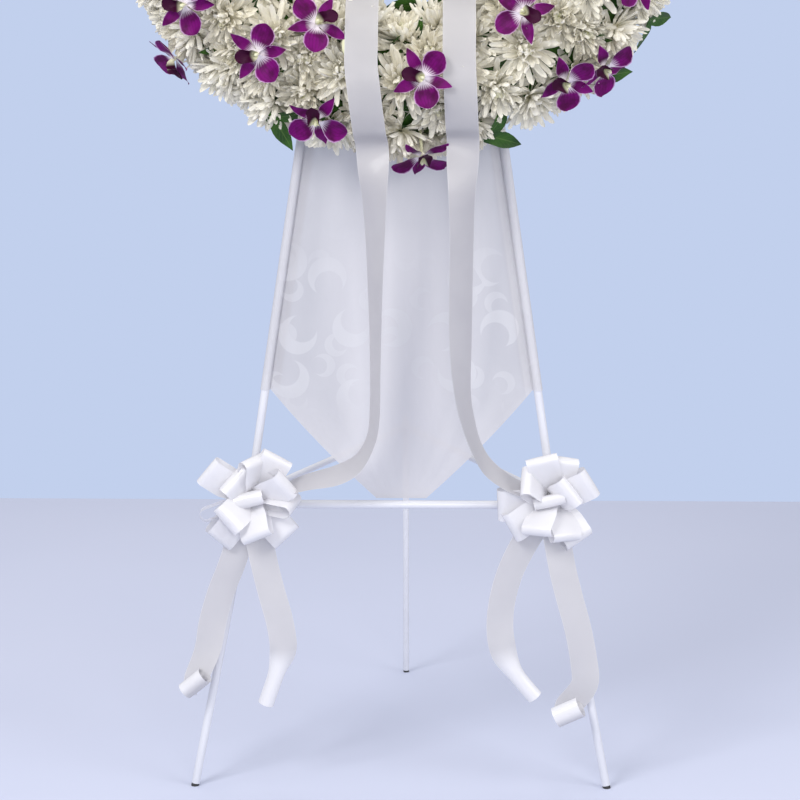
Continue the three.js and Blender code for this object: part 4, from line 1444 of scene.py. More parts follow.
    def _fill(self, k: int, taken: list[Vector], own: random.Random) -> list[tuple[Matrix, float]]:
        """A bunch's heads between the rows, each put in the widest gap that is left.

        Args:
            k: The bunch's number.
            taken: Where heads stand already; these heads are added.
            own: Where its small differences come from.

        Returns:
            Each head's place and shade.
        """
        heads = []
        for _ in range(self.fillers):
            places = [
                ring_frame(
                    self._start(k) + self.span * own.random(), own.uniform(-92, 94),
                    self.bed_outer - 4, own.uniform(0, 360),
                )
                for _ in range(self.tries)
            ]
            best = max(
                places, key=lambda place: min((place.translation - other).length for other in taken)
            )
            taken.append(best.translation)
            heads.append((best @ Matrix.Scale(own.uniform(0.84, 0.97), 4), own.uniform(0.1, 0.7)))
        return heads

    def _bunch(self, k: int, heads: list[tuple[Matrix, float]], own: random.Random) -> None:
        """One bunch: its bed, its heads and its greenery.

        Args:
            k: The bunch's number.
            heads: Each head's place and shade.
            own: Where its small differences come from.
        """
        form = Form()
        form.number("depth")
        form.number("tint")
        self._bed(form, self._start(k), self._start(k + 1))
        for place, shade in heads:
            form.add(own.choice(self.heads), place, tint=shade)
        for _ in range(self.sprigs):
            place = ring_frame(
                self._start(k) + self.span * own.random(), own.uniform(-75, 80), self.bed_outer + 2,
                own.uniform(0, 360),
            )
            form.add(self.sprig, place @ rotation(self.sprig_droop, "Y"))
        self.bench.piece(
            form, f"chrysanthemum_heads_{k + 1}", f"chrysanthemums_{k + 1}", "white_petals",
            self.palette.petal, self.palette.leaf,
        )


LEAF_PROFILE = (
    (0.0, 0.12), (0.06, 0.34), (0.16, 0.66), (0.3, 0.93), (0.42, 1.0), (0.56, 0.95),
    (0.7, 0.76), (0.82, 0.5), (0.92, 0.24), (1.0, 0.03),
)


@dataclass(frozen=True)
class LeafPlan:
    """One leaf: degrees about its stem, degrees that it bends up, and degrees about its midrib."""

    way: float
    curl: float = -4.0
    twist: float = 0.0


@dataclass
class LeafyStems(Maker):
    """Dark green leaves on short stems that stand out past the flowers."""

    length: float = 52.0
    width: float = 20.0
    lift: float = 88.0
    stem_depth: float = 31.0
    stem_radius: float = 1.7
    stems: tuple[tuple[float, float, tuple[LeafPlan, ...]], ...] = (
        (-117, 60, (LeafPlan(48, 40, -28), LeafPlan(115, -70))),
        (-73, 62, (LeafPlan(40, 20, -40), LeafPlan(125, -75))),
        (-33, 72, (LeafPlan(22, 20), LeafPlan(-50))), (12, 70, (LeafPlan(25), LeafPlan(-30))),
        (70, 70, (LeafPlan(-20), LeafPlan(30))), (140, 70, (LeafPlan(15), LeafPlan(-35))),
        (-81, -72, (LeafPlan(64, -4, 68), LeafPlan(-74, -4, -68))),
        (-47.5, 76, (LeafPlan(36, 34, -24),)),
    )

    def build(self) -> None:
        """Makes each stem with its leaves."""
        for number, (angle, tilt, leaves) in enumerate(self.stems, 1):
            form = Form()
            root, head = Vector((0, 0, -self.stem_depth)), Vector((0, 0, 3))
            form.rod(root, head, self.stem_radius, sides=12, rim=0.3)
            for plan in leaves:
                self._leaf(form, plan)
            roll = 180 if tilt < 0 else 0
            form.move(ring_frame(angle, tilt, self.lift, roll))
            name = f"leafy_stem_{number}"
            self.bench.piece(form, name, f"leaves_{number}", "green_leaves", self.palette.leaf)

    def _leaf(self, form: Form, plan: LeafPlan) -> None:
        """One leaf with a folded midrib and a gentle wave.

        Args:
            form: The stem that it joins.
            plan: Which way it points and bends.
        """

        def wave(q: float, share: float) -> float:
            """The leaf's wave, most of it along its edges."""
            edge = 0.9 * math.sin(7 * share + plan.way) * abs(q)
            return edge + 2.2 * math.sin(math.pi * share)

        leaf = Form()
        leaf.loft(blade_rows(self.length, self.width, plan.curl, 0.22, LEAF_PROFILE, 9, wave))
        turn = rotation(plan.way, "Z")
        twist = rotation(plan.twist, "X")
        form.add(leaf.to_mesh("leaf"), turn @ twist)


SEPAL_PROFILE = (
    (0.0, 0.26), (0.1, 0.42), (0.25, 0.78), (0.42, 1.0), (0.6, 0.94), (0.76, 0.7), (0.9, 0.36),
    (1.0, 0.06),
)
TEPAL_PROFILE = (
    (0.0, 0.13), (0.1, 0.22), (0.22, 0.5), (0.38, 0.84), (0.55, 1.0), (0.72, 0.98), (0.86, 0.76),
    (0.95, 0.44), (1.0, 0.12),
)
LIP_PROFILE = (
    (0.0, 0.3), (0.12, 0.55), (0.28, 0.8), (0.42, 0.78), (0.55, 0.92), (0.7, 1.0), (0.85, 0.8),
    (0.95, 0.45), (1.0, 0.1),
)


@dataclass
class Orchids(Maker):
    """Purple dendrobium blooms, each on its stalk. Sizes are a blade's length and width."""

    lift: float = 99.0
    sepal: tuple[float, float] = (36.0, 15.0)
    petal: tuple[float, float] = (36.0, 29.0)
    lip: tuple[float, float] = (25.0, 17.0)
    blooms: dict[str, tuple[Triple, ...]] = field(
        default_factory=lambda: {
            "a": ((-145, 26, 50),),
            "b": ((-138.5, 72, 190),),
            "c": ((-125.5, 14, 45.5),),
            "d": ((-116, -24, -136),),
            "e": ((-107.5, 38, -67.5),),
            "f": ((-84.5, 0, -23),),
            "g": ((-86, 63, -104),),
            "h": ((-52.5, -16, 110.5),),
            "i": ((-46, 54, -65.5), (-54, 40, -57.5)),
        }
    )
    upper: tuple[Triple, ...] = (
        (-28, 30, 95), (-8, -12, 15), (8, 50, -80), (30, 8, 180), (52, -26, -120), (66, 44, 170),
    )
    upper_starts: tuple[float, float] = (0.0, 110.0)
    budded: str = "d"
    bud_at: Triple = (-106, -20, 92.0)

    def build(self) -> None:
        """Makes the blooms from a few kinds."""
        self.kinds = [self._bloom(seed) for seed in range(4)]
        plan = dict(self.blooms)
        for k, start in enumerate(self.upper_starts):
            for i, (angle, tilt, roll) in enumerate(self.upper):
                plan[f"upper_{6 * k + i + 1}"] = ((angle + start, tilt, roll),)
        for number, (name, places) in enumerate(plan.items()):
            form = Form()
            form.number("part")
            if name == self.budded:
                self._bud(form)
            for i, (angle, tilt, roll) in enumerate(places):
                form.add(
                    self.kinds[(number + i) % len(self.kinds)],
                    ring_frame(angle, tilt, self.lift, roll),
                )
            bloom, node = f"orchid_bloom_{name}", f"orchid_{name}"
            self.bench.piece(form, bloom, node, "purple_petals", self.palette.orchid)

    def _bud(self, form: Form) -> None:
        """A pale bud that points down between the heads, on a stalk of its own.

        Args:
            form: What it joins.
        """
        bud = Form()
        made = bmesh.ops.create_uvsphere(
            bud.bm, u_segments=12, v_segments=10, radius=1.0,
            matrix=rotation(12, "Z") @ Matrix.Diagonal((5.5, 16.0, 5.5, 1)),
        )
        for vert in made["verts"]:
            vert.co.x += 0.006 * vert.co.y * vert.co.y
        bud.rod(Vector((0, 12, 0)), Vector((0, 10, -34)), 1.6, sides=10, rim=0.3)
        form.add(bud.to_mesh("bud"), ring_frame(*self.bud_at, 90), part=1.0)

    def _bloom(self, seed: int) -> bpy.types.Mesh:
        """One kind of bloom.

        Args:
            seed: What its small differences are drawn from.

        Returns:
            The bloom's mesh, facing +Z, with its upper sepal towards +Y.
        """
        draw = random.Random(50 + seed)
        bloom = Form()
        bloom.number("part")
        for way in (90, 224, 316):
            self._tepal(bloom, draw, way, self.sepal, SEPAL_PROFILE, -1.0)
        for way in (27, 153):
            self._tepal(bloom, draw, way, self.petal, TEPAL_PROFILE, 1.4)
        self._lip(bloom, draw)
        self._column(bloom)
        return bloom.to_mesh(f"bloom_{seed}")

    def _tepal(
        self, bloom: Form, draw: random.Random, way: float, size: tuple[float, float],
        profile: Sequence[tuple[float, float]], height: float,
    ) -> None:
        """One sepal or petal.

        Args:
            bloom: What it joins.
            draw: Where its small differences come from.
            way: Degrees round the bloom.
            size: Its length from root to tip, and its greatest width.
            profile: Its outline.
            height: How far in front of the bloom's middle it starts.
        """
        phase = draw.uniform(0, 6)

        def wave(q: float, share: float) -> float:
            """The tepal's soft folds."""
            edge = 1.5 * math.sin(5 * share + phase) * q * abs(q)
            return edge + 0.9 * math.sin(9 * share + phase)

        blade = Form()
        blade.loft(
            blade_rows(
                size[0] * draw.uniform(0.96, 1.02), size[1] * draw.uniform(0.95, 1.05),
                draw.uniform(-16, 14), draw.uniform(0.05, 0.32), profile, 9, wave,
            )
        )
        place = set_round(way + draw.uniform(-5, 5), 1.5, height, draw.uniform(2, 12))
        bloom.add(blade.to_mesh("tepal"), place, part=0.0)

    def _lip(self, bloom: Form, draw: random.Random) -> None:
        """The maroon lip: a trough that opens into a ruffled, pointed lobe.

        Args:
            bloom: What it joins.
            draw: Where its small differences come from.
        """

        def wave(q: float, share: float) -> float:
            """The lip's raised sides and the ruffle of its lobe."""
            side = 9.5 if share < 0.5 else 2.0
            trough = side * q * q * math.sin(math.pi * min(1.0, share + 0.2))
            return trough + 0.9 * math.sin(11 * share + 4 * q) * abs(q)

        blade = Form()
        blade.loft(blade_rows(*self.lip, -34.0, 0.2, LIP_PROFILE, 11, wave))
        place = set_round(270 + draw.uniform(-4, 4), 1.0, 2.5, 36)
        bloom.add(blade.to_mesh("lip"), place, part=0.5)

    def _column(self, bloom: Form) -> None:
        """The pale column over the lip, and the stalk behind the bloom.

        Args:
            bloom: What it joins.
        """
        part = Form()
        part.number("part")
        bmesh.ops.create_uvsphere(
            part.bm, u_segments=12, v_segments=8, radius=1.0,
            matrix=Matrix.Translation((0, 0.5, 6.5)) @ Matrix.Diagonal((2.6, 3.0, 5.6, 1)),
        )
        part.rod(Vector((0, 0, -42)), Vector((0, 0, 3)), 1.9, sides=12, rim=0.3)
        bloom.add(part.to_mesh("column"), Matrix.Identity(4), part=1.0)


@dataclass(frozen=True)
class Station:
    """A place on a ribbon's middle line, with the direction across the ribbon."""

    point: Vector
    across: Vector


def ribbon_rows(
    stations: Sequence[Station],
    width: float,
    steps: int,
    columns: int = 9,
    bulge: Callable[[float, float], float] | None = None,
) -> tuple[list[list[Vector]], float]:
    """Rows of points for a ribbon through stations.

    Args:
        stations: The places that it passes through.
        width: Its width.
        steps: Rows between each two stations.
        columns: Points across.
        bulge: How far a place across and along stands off the flat ribbon.

    Returns:
        The rows and the ribbon's length.
    """
    middle = smooth_path([station.point for station in stations], steps)
    turns = smooth_path([station.across for station in stations], steps)
    length = sum((b - a).length for a, b in zip(middle, middle[1:]))
    rows = []
    for i, point in enumerate(middle):
        run = run_at(middle, i)
        wide = (turns[i] - run * turns[i].dot(run)).normalized()
        normal = run.cross(wide)
        share = i / (len(middle) - 1)
        row = []
        for q in spaced(columns):
            off = bulge(q, share) if bulge else 0.0
            row.append(point + wide * (q * width / 2) + normal * off)
        rows.append(row)
    return rows, length


@dataclass(frozen=True)
class RibbonWay:
    """Where a ribbon goes round the ring, on top and low down, and then down to its bow.

    Each place of its way down is x, y and z, the degrees that the ribbon is turned there from
    facing the front, and how far its width slopes.
    """

    top_x: float
    low_x: float
    sag: tuple[tuple[float, ...], ...]


@dataclass
class HangingRibbons(Maker):
    """Two satin ribbons that wrap the lower part of the wreath and fall to the bows."""

    width: float = 38.0
    lift: float = 101.0
    ways: dict[Side, RibbonWay] = field(
        default_factory=lambda: {
            Side.LEFT: RibbonWay(
                top_x=-45,
                low_x=-33,
                sag=(
                    (-31, -38, 735, -32, 0), (-30, -36, 680, -50, 0), (-30, -33, 610, -62, 0),
                    (-30, -31, 530, -70, 0), (-31, -30, 460, -72, 0), (-37, -29, 427, -76, -0.1),
                    (-52, -28, 402, -80, -0.35), (-76, -27, 388, -80, -0.45),
                    (-112, -26, 379, -82, -0.3), (-134, -25, 371, -84, -0.2),
                ),
            ),
            Side.RIGHT: RibbonWay(
                top_x=67,
                low_x=72,
                sag=(
                    (71, -38, 735, 32, 0), (71, -36, 680, 42, 0), (70, -32, 560, 44, 0),
                    (73, -30, 490, 58, 0), (80, -29, 453, 66, 0.1), (90, -28, 422, 74, 0.2),
                    (104, -27, 398, 78, 0.3), (126, -26, 380, 82, 0.25), (142, -25, 372, 84, 0.2),
                ),
            ),
        }
    )

    def build(self) -> None:
        """Makes both ribbons."""
        for side, way in self.ways.items():
            form = Form()
            rows, length = ribbon_rows(
                self._stations(way), self.width, 6, 9, self._wave(1.0 + side.value)
            )
            form.loft(rows, reach=length / 1000)
            name, node = f"satin_ribbon_{side.word}", f"ribbon_{side.word}"
            made = self.bench.piece(form, name, node, "satin_ribbon", self.palette.satin)
            length / 1000

    @staticmethod
    def _wave(phase: float) -> Callable[[float, float], float]:
        """The soft waves of a ribbon, which start at a phase of their own.

        Args:
            phase: Where they start.

        Returns:
            How far the ribbon stands off at a place across and along.
        """

        def wave(q: float, share: float) -> float:
            """How far the ribbon stands off at a place across and along."""
            swell = 1.2 * math.sin(9 * share + phase) + 0.7 * math.sin(23 * share + 2 * phase)
            return swell * (1 - q * q) + 0.5 * q * math.sin(14 * share)

        return wave

    def _stations(self, way: RibbonWay) -> list[Station]:
        """A ribbon's stations from behind the tray, round the flowers and down to its bow.

        Args:
            way: Where the ribbon goes.

        Returns:
            The stations in order.
        """
        across = Vector((1, 0, 0))
        stations = []

        def put(x: float, radial: float, height: float) -> None:
            """Adds a station in the plane at x across the lower part of the ring."""
            depth = math.sqrt(max(radial**2 - x**2, 0))
            stations.append(Station(WREATH @ Vector((x, -depth, height)), across))

        put(way.top_x, RING_RADIUS + 10, -1.2)
        put(way.top_x, RING_RADIUS - TRAY_HALF_WIDTH - 11, -1.2)
        for tilt in range(-96, 55, 15):
            lean = math.radians(tilt)
            low = (max(tilt, -6) + 6) / 60
            put(
                way.top_x + (way.low_x - way.top_x) * low,
                RING_RADIUS + self.lift * math.sin(lean),
                SECTION_DEPTH + self.lift * math.cos(lean),
            )
        for *place, degrees, slope in way.sag:
            turn = math.radians(degrees)
            direction = Vector((math.cos(turn), math.sin(turn), slope)).normalized()
            stations.append(Station(Vector(place), direction))
        return stations


@dataclass(frozen=True)
class RollPlan:
    """The roll at a tail's end.

    Its middle is measured from the knot. face is -1 where it curls to the front and 1 where it
    curls to the back, spin is the way round its axis, turn is its degrees, and radius its own.
    """

    middle: Triple
    axis: Triple
    face: int
    spin: int
    turn: float
    radius: float


@dataclass(frozen=True)
class TailPlan:
    """A bow's tail: its way down from the knot and the roll at its end.

    Without a roll, its end is furled along its length into an open tube.
    """

    way: tuple[Triple, ...]
    roll: RollPlan | None = None


@dataclass(frozen=True)
class BowPlan:
    """A pull bow: its knot, its loops and its two tails.

    Each loop gives its folded end's middle from the knot, and the end's direction across.
    """

    knot: Triple
    loops: tuple[tuple[Triple, Triple], ...]
    tails: tuple[TailPlan, ...]


BOWS = {
    Side.LEFT: BowPlan(
        knot=(-179, -16.2, 357),
        loops=(
            ((-52, -14, 38), (34, -4, 22)), ((-22, -24, 30), (20, 4, 38)),
            ((6, -20, 54), (26, 10, 40)), ((34, -12, 54), (36, 8, -30)),
            ((46, -28, 26), (50, 6, -36)), ((54, -18, -6), (8, 36, 10)),
            ((44, -14, -46), (52, 6, 52)), ((10, -40, -40), (42, 8, 42)),
            ((-28, -40, -20), (40, 4, -34)), ((-60, -14, -20), (6, 36, -10)),
            ((-40, -20, -48), (24, 12, -30)),
        ),
        tails=(
            TailPlan(
                ((-20, -10, -70), (-36, -10, -112), (-47, -10, -150), (-54, -13, -186)),
                RollPlan((-68.7, -30, -222), (0.74, -0.15, 0.65), -1, 1, 300, 12.5),
            ),
            TailPlan(
                (
                    (14, -12, -70), (24, -16, -112), (34, -18, -150), (38, -20, -184),
                    (31, -22, -214), (17, -24, -254),
                ),
            ),
        ),
    ),
    Side.RIGHT: BowPlan(
        knot=(179, -16.2, 357),
        loops=(
            ((-13, -20, 56), (40, 4, 2)), ((24, -28, 18), (26, 4, -40)),
            ((48, -14, 26), (38, 6, -42)), ((-34, -28, 30), (22, 4, -36)),
            ((-64, -14, -4), (16, 6, -38)), ((-50, -24, -30), (24, 8, -34)),
            ((-18, -42, -32), (50, 8, 22)), ((18, -34, -42), (44, 6, -20)),
            ((34, -12, -50), (40, 16, 10)), ((14, -12, 54), (32, 14, -26)),
        ),
        tails=(
            TailPlan(
                (
                    (-38, -12, -64), (-54, -14, -106), (-60, -14, -148), (-56, -16, -182),
                    (-40, -18, -213), (-16, -20, -244),
                ),
            ),
            TailPlan(
                (
                    (12, -14, -72), (22, -18, -114), (33, -20, -154), (41, -20, -196),
                    (42, -20, -226),
                ),
                RollPlan((22, -32, -255), (0.89, -0.1, 0.45), -1, 1, 270, 15.5),
            ),
        ),
    ),
}


@dataclass
class PullBows(Maker):
    """Satin pull bows on the crossbar's ends."""

    width: float = 38.0
    tail_width: float = 33.0
    roll_steps: int = 10
    furl: float = 195.0
    furl_from: float = 0.6
    furl_over: float = 0.28
    bright_from: float = 0.66
    bright_over: float = 0.12
    fold: float = 7.5
    start: float = 4.0
    gathered: float = 0.6
    gather_rate: float = 1.8
    strap_steps: int = 11
    fold_steps: int = 10
    columns: int = 9
    heart: tuple[tuple[Triple, Triple], ...] = (((-3, -29, 4), (38, 3, 9)),)

    def build(self) -> None:
        """Makes both bows."""
        for side, plan in BOWS.items():
            form = Form()
            bright = form.number("bright")
            total = 0.0
            for number, (reach, across) in enumerate((*plan.loops, *self.heart)):
                total += self._loop(form, Vector(plan.knot), Vector(reach), Vector(across), number)
            self._knot(form, Vector(plan.knot))
            # painted light: every loop and the knot take the satin's lighter colour
            for vert in form.bm.verts:
                vert[bright] = 1.0
            for number, tail in enumerate(plan.tails):
                total += self._tail(form, Vector(plan.knot), tail, number)
            name, node = f"pull_bow_{side.word}", f"bow_{side.word}"
            made = self.bench.piece(form, name, node, "satin_ribbon", self.palette.satin)
            total / 1000

    def _loop(self, form: Form, knot: Vector, reach: Vector, across: Vector, number: int) -> float:
        """One loop of ribbon, out from the knot, round and back.

        Args:
            form: The bow.
            knot: The knot's middle.
            reach: From the knot to the loop's folded end.
            across: The direction across the ribbon at that end.
            number: The loop's number, for its small differences.

        Returns:
            The length of ribbon in it.
        """
        run = reach.normalized()
        length = reach.length
        wide = (across - run * across.dot(run)).normalized()
        off = run.cross(wide)
        fold = self.fold * (0.85 + 0.3 * ((number * 5) % 7) / 6)
        route = []
        for i in range(self.strap_steps):
            share = i / self.strap_steps
            swell = math.sin(math.pi / 2 * min(1.0, share * 1.5))
            route.append((self.start + (length - fold - self.start) * share, fold * swell))
        turns = [math.pi / 2 - math.pi * i / self.fold_steps for i in range(self.fold_steps + 1)]
        route += [(length - fold + fold * math.cos(turn), fold * math.sin(turn)) for turn in turns]
        route += [(reach_at, -lift) for reach_at, lift in reversed(route[: self.strap_steps])]
        rows = []
        for reach_at, lift in route:
            out = reach_at / length
            opened = min(1.0, out * self.gather_rate)
            breadth = self.width / 2 * (self.gathered + (1 - self.gathered) * opened)
            pinch = max(0.0, 1 - out * self.gather_rate)
            sign = 1 if lift >= 0 else -1
            row = []
            for q in spaced(self.columns):
                pleat = pinch * 1.1 * math.cos(2.5 * math.pi * q + number) + 0.8 * (1 - q * q)
                place = knot + run * reach_at + off * (lift + sign * pleat)
                row.append(place + wide * (q * breadth))
            rows.append(row)
        centre = self.columns // 2
        ribbon = sum((b[centre] - a[centre]).length for a, b in zip(rows, rows[1:]))
        form.loft(rows, reach=ribbon / 1000)
        return ribbon

    def _tail(self, form: Form, knot: Vector, tail: TailPlan, number: int) -> float:
        """One tail, with the roll or the furled tube at its end.

        Args:
            form: The bow.
            knot: The knot's middle.
            tail: Its plan.
            number: 0 for the left tail, 1 for the right.

        Returns:
            The length of ribbon in it.
        """
        flat = Vector((1, 0.2, 0)).normalized()
        stations = [Station(knot.copy(), Vector((1, 0, 0)))]
        roll = tail.roll
        axis = Vector(roll.axis).normalized() if roll else Vector((0.86, 0.1, 0.5))
        for place, turned in zip(tail.way, (*[0.0] * (len(tail.way) - 2), 0.3, 0.85)):
            stations.append(Station(knot + Vector(place), flat.lerp(axis, turned).normalized()))
        if roll:
            stations += self._rolled(knot, roll, axis)

        def wave(q: float, s: float) -> float:
            """The tail's soft creases, which its end has none of."""
            free = min(1.0, 4 * s) * max(0.0, 1 - 1.6 * s)
            crease = 2.4 * math.sin(8 * s + number) + 1.2 * math.sin(19 * s)
            return (crease * (1 - q * q) + q * 1.6 * math.sin(11 * s + 2 * number)) * free

        rows, length = ribbon_rows(stations, self.tail_width, 5, 9, wave)
        if not roll:
            rows = [self._furled(row, k / (len(rows) - 1)) for k, row in enumerate(rows)]
        strip = Form()
        strip.loft(rows, reach=length / 1000)
        # painted light: the tail's colour lightens towards its roll or furled end
        bright = strip.number("bright")
        for vert in strip.bm.verts:
            share = vert[strip.along] * 1000 / length
            rolled = (share - self.bright_from) / self.bright_over
            vert[bright] = 0.25 + 0.75 * min(1.0, max(0.0, rolled))
        form.add(strip.to_mesh("tail"), Matrix.Identity(4))
        return length

    def _rolled(self, knot: Vector, roll: RollPlan, axis: Vector) -> list[Station]:
        """The stations of a roll, from the tail's front or back and round its axis.

        Args:
            knot: The knot's middle.
            roll: The roll's plan.
            axis: The direction of the roll's axis.

        Returns:
            The stations in order.
        """
        inward = Vector((0, roll.face, 0))
        inward = (inward - axis * inward.dot(axis)).normalized()
        ahead = axis.cross(inward) * roll.spin
        stations = []
        for k in range(self.roll_steps + 1):
            turn = math.radians(roll.turn * k / self.roll_steps)
            radius = roll.radius * (1 - 0.25 * k / self.roll_steps)
            place = Vector(roll.middle) - inward * (radius * math.cos(turn))
            stations.append(Station(knot + place + ahead * (radius * math.sin(turn)), axis))
        return stations

    def _furled(self, row: Row, share: float) -> list[Vector]:
        """A row of a tail, curled round to the back by a little over half a turn at its end.

        Args:
            row: The flat row.
            share: How far along the tail the row is, from 0 to 1.

        Returns:
            The curled row.
        """
        part = min(1.0, max(0.0, (share - self.furl_from) / self.furl_over))
        total = math.radians(self.furl) * part * part * (3 - 2 * part)
        if total < 0.02:
            return list(row)
        middle = row[len(row) // 2]
        wide = (row[-1] - row[0]).normalized()
        away = Vector((0, 1, 0))
        away = (away - wide * away.dot(wide)).normalized()
        radius = self.tail_width / total
        curled = []
        for k in range(len(row)):
            turn = total * (k / (len(row) - 1) - 0.5)
            rise = radius * (1 - math.cos(turn))
            curled.append(middle + wide * (radius * math.sin(turn)) + away * rise)
        return curled

    def _knot(self, form: Form, knot: Vector) -> None:
        """The gathered middle: a small ball at the knot, round the pull strings."""
        bmesh.ops.create_icosphere(
            form.bm, subdivisions=3, radius=8.0, matrix=Matrix.Translation(knot)
        )


@dataclass
class SheerPanel(Maker):
    """The sheer cloth between the uprights, wrapped round both and cut to a point below."""

    top: float = 783.0
    corner: float = 482.0
    low: float = 351.0
    tip_half: float = 30.0
    columns: int = 112
    levels: int = 60
    behind: float = 8.5
    tuck_steps: int = 4
    tuck_step: float = 4.2
    wrapped_width: float = 0.13

    def build(self) -> None:
        """Makes the panel with its wrapped sides."""
        form = Form()
        drop = self.low - self.top
        heights = [self.top + drop * k / self.levels for k in range(self.levels + 1)]
        upper = [height for height in heights if height > self.corner]
        lower = [self.corner, *(height for height in heights if height < self.corner)]
        wrapped = []
        for height in [*upper, self.corner]:
            left = self._wrap(height, Side.LEFT)
            right = self._wrap(height, Side.RIGHT)
            wrapped.append([*reversed(left), *self._level(height), *right])
        form.loft(wrapped)
        form.loft([self._level(height) for height in lower])
        self._spread(form)
        bmesh.ops.remove_doubles(form.bm, verts=form.bm.verts, dist=0.05)
        area = sum(face.calc_area() for face in form.bm.faces) / 1e6
        made = self.bench.piece(
            form, "organza_panel", "sheer_panel", "organza", self.palette.organza
        )
        width = 2 * upright_half(self.corner) / 1000 + self.wrapped_width
        length = (self.top - self.low) / 1000
        round(min(area, width * length), 4)

    def _spread(self, form: Form) -> None:
        """Gives the cloth its own coordinates in metres, so that its pattern isn't stretched.

        Args:
            form: The cloth.
        """
        inboard = form.number("inboard")
        for vert in form.bm.verts:
            vert[form.across] = vert.co.x / 1000 + 0.5
            vert[form.along] = (self.top - vert.co.z) / 1000
            vert[inboard] = (upright_half(vert.co.z) - abs(vert.co.x)) / 1000

    def _level(self, height: float) -> list[Vector]:
        """One level of the panel, from beside the left upright to beside the right one.

        Args:
            height: Its height above the floor.

        Returns:
            The level's points.
        """
        cut = max(0.0, (self.corner - height) / (self.corner - self.low))
        reach = (upright_half(height) - TUBE_RADIUS - 1.5) * (1 - cut) + self.tip_half * cut
        middle = leaning(0, height).y - 1.5 + cut * self.behind
        row = []
        for u in spaced(self.columns + 1):
            x = u * reach
            fold = math.cos(7 * math.pi * u + 0.4 * math.sin(height / 90))
            soft = 0.8 * math.sin(x / 21.0 + height / 90) + 0.3 * math.sin(x / 9.3 - height / 60)
            wave = (fold + soft) * (1 - abs(u) ** 8) * (1 - cut)
            row.append(Vector((x, middle - wave, height)))
        return row

    def _wrap(self, height: float, side: Side) -> list[Vector]:
        """One level of the cloth that goes over an upright, round it and back in behind it.

        Args:
            height: Its height above the floor.
            side: The upright's side.

        Returns:
            The level's points, from the panel outwards.
        """
        half = upright_half(height)
        centre = leaning(0, height).y
        radius = TUBE_RADIUS + 1.0
        row = []
        for degrees in range(-80, 181, 13):
            turn = math.radians(degrees)
            row.append(
                Vector(
                    (
                        side.value * (half + radius * math.sin(turn)),
                        centre - radius * math.cos(turn),
                        height,
                    )
                )
            )
        for k in range(1, self.tuck_steps + 1):
            ripple = 0.8 * math.sin(k * 1.4 + height / 60)
            inward = side.value * (half - self.tuck_step * k)
            row.append(Vector((inward, centre + radius + ripple, height)))
        return row


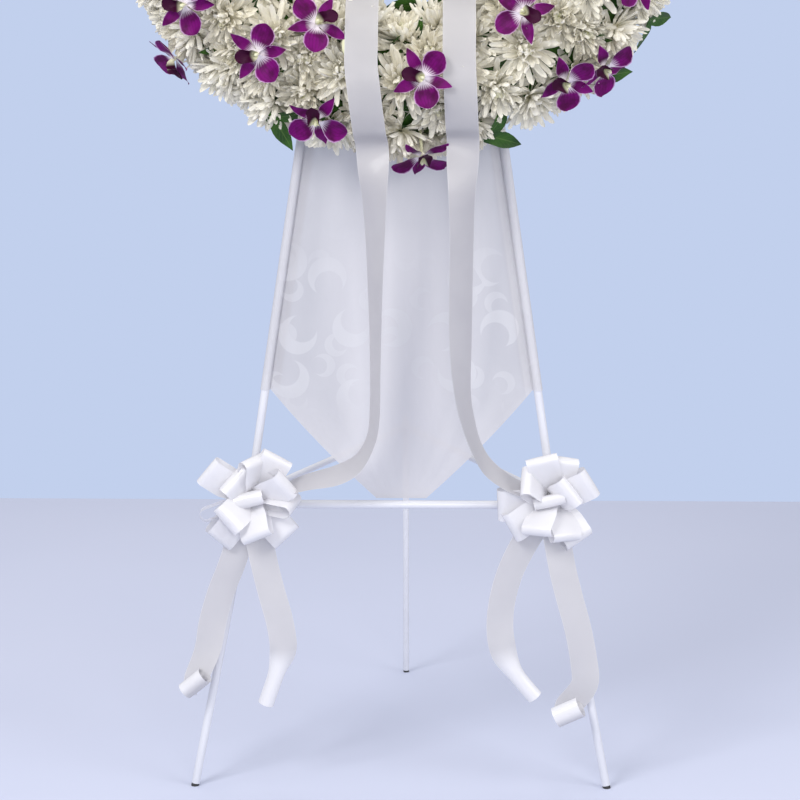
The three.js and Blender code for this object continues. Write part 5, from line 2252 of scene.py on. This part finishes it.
@dataclass
class Studio(Maker):
    """The floor, the plain background, the lights and the camera."""

    camera_at: Triple = (56.156, -3299.523, 1230.0)
    camera_towards: Triple = (-0.01701138, 0.97458156, -0.22338622)
    lens: float = 128.04
    floor_end: float = 1316.0
    floor_reach: float = 9000.0
    wall: Triple = (0.539, 0.631, 0.847)
    daylight: Triple = (0.56, 0.57, 0.605)
    warm: Triple = (1.0, 0.98, 0.95)
    lit: Triple = (0, 60, 650)

    def build(self) -> None:
        """Makes the stage, the light and the camera."""
        self._floor()
        self._sky()
        self._lamp("key", (-1700, -2100, 2700), 1.3, 66)
        self._lamp("fill", (2300, -1500, 1900), 1.6, 30)
        self._lamp("top", (0, 300, 3300), 2.2, 34)
        self._lamp("front", (500, -3300, 1500), 1.2, 26)
        self._camera()

    def _floor(self) -> None:
        """A wide floor that ends where the photo's wall begins."""
        form = Form()
        bmesh.ops.create_grid(
            form.bm, x_segments=12, y_segments=12, size=self.floor_reach,
            matrix=Matrix.Translation((0, self.floor_end - self.floor_reach, 0)),
        )
        form.move(self.bench.place)
        mesh = form.to_mesh("floor")
        mesh.materials.append(self.palette.floor)
        made = bpy.data.objects.new("floor", mesh)
        bpy.context.scene.collection.objects.link(made)

    def _sky(self) -> None:
        """A plain pale blue wall all round, and the white daylight of the room."""
        world = bpy.data.worlds.new("plain_blue")
        world.use_nodes = True
        bpy.context.scene.world = world
        graph = Graph(world.node_tree)
        light = graph.node("ShaderNodeBackground", inputs={"Color": (*self.daylight, 1.0)})
        wall = graph.node("ShaderNodeBackground", inputs={"Color": (*self.wall, 1.0)})
        seen = graph.node("ShaderNodeLightPath", output="Is Camera Ray")
        shader = graph.node("ShaderNodeMixShader", inputs={0: seen, 1: light, 2: wall})
        graph.node("ShaderNodeOutputWorld", inputs={"Surface": shader})

    def _lamp(self, name: str, place: Triple, size: float, power: float) -> None:
        """A square soft light that looks at the stand's middle.

        Args:
            name: The light's name.
            place: Where it hangs.
            size: Its side, in metres.
            power: Its power, in watts.
        """
        light = bpy.data.lights.new(name, "AREA")
        light.shape = "SQUARE"
        light.size = size
        light.energy = power
        light.color = self.warm
        lamp = bpy.data.objects.new(name, light)
        bpy.context.scene.collection.objects.link(lamp)
        at = self.bench.metres(Vector(place))
        target = self.bench.metres(Vector(self.lit))
        lamp.location = at
        lamp.rotation_euler = (target - at).to_track_quat("-Z", "Y").to_euler()

    def _camera(self) -> None:
        """The camera at the photo's viewing angle."""
        data = bpy.data.cameras.new("camera")
        data.lens = self.lens
        data.sensor_width = 36.0
        data.clip_start = 0.05
        data.clip_end = 60.0
        camera = bpy.data.objects.new("camera", data)
        bpy.context.scene.collection.objects.link(camera)
        camera.location = self.bench.metres(Vector(self.camera_at))
        camera.rotation_euler = Vector(self.camera_towards).to_track_quat("-Z", "Y").to_euler()
        bpy.context.scene.camera = camera
        bpy.context.scene.view_settings.view_transform = "Standard"


def main() -> None:
    """Builds the stand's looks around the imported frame."""
    logging.basicConfig(level=logging.INFO, format="%(name)s %(message)s")
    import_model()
    bench = Bench()
    palette = Palette()
    Studio(bench, palette).build()
    TubeFrame(bench, palette).build()
    WreathBase(bench, palette).build()
    Chrysanthemums(bench, palette).build()
    LeafyStems(bench, palette).build()
    Orchids(bench, palette).build()
    HangingRibbons(bench, palette).build()
    PullBows(bench, palette).build()
    SheerPanel(bench, palette).build()


if __name__ == "__main__":
    main()
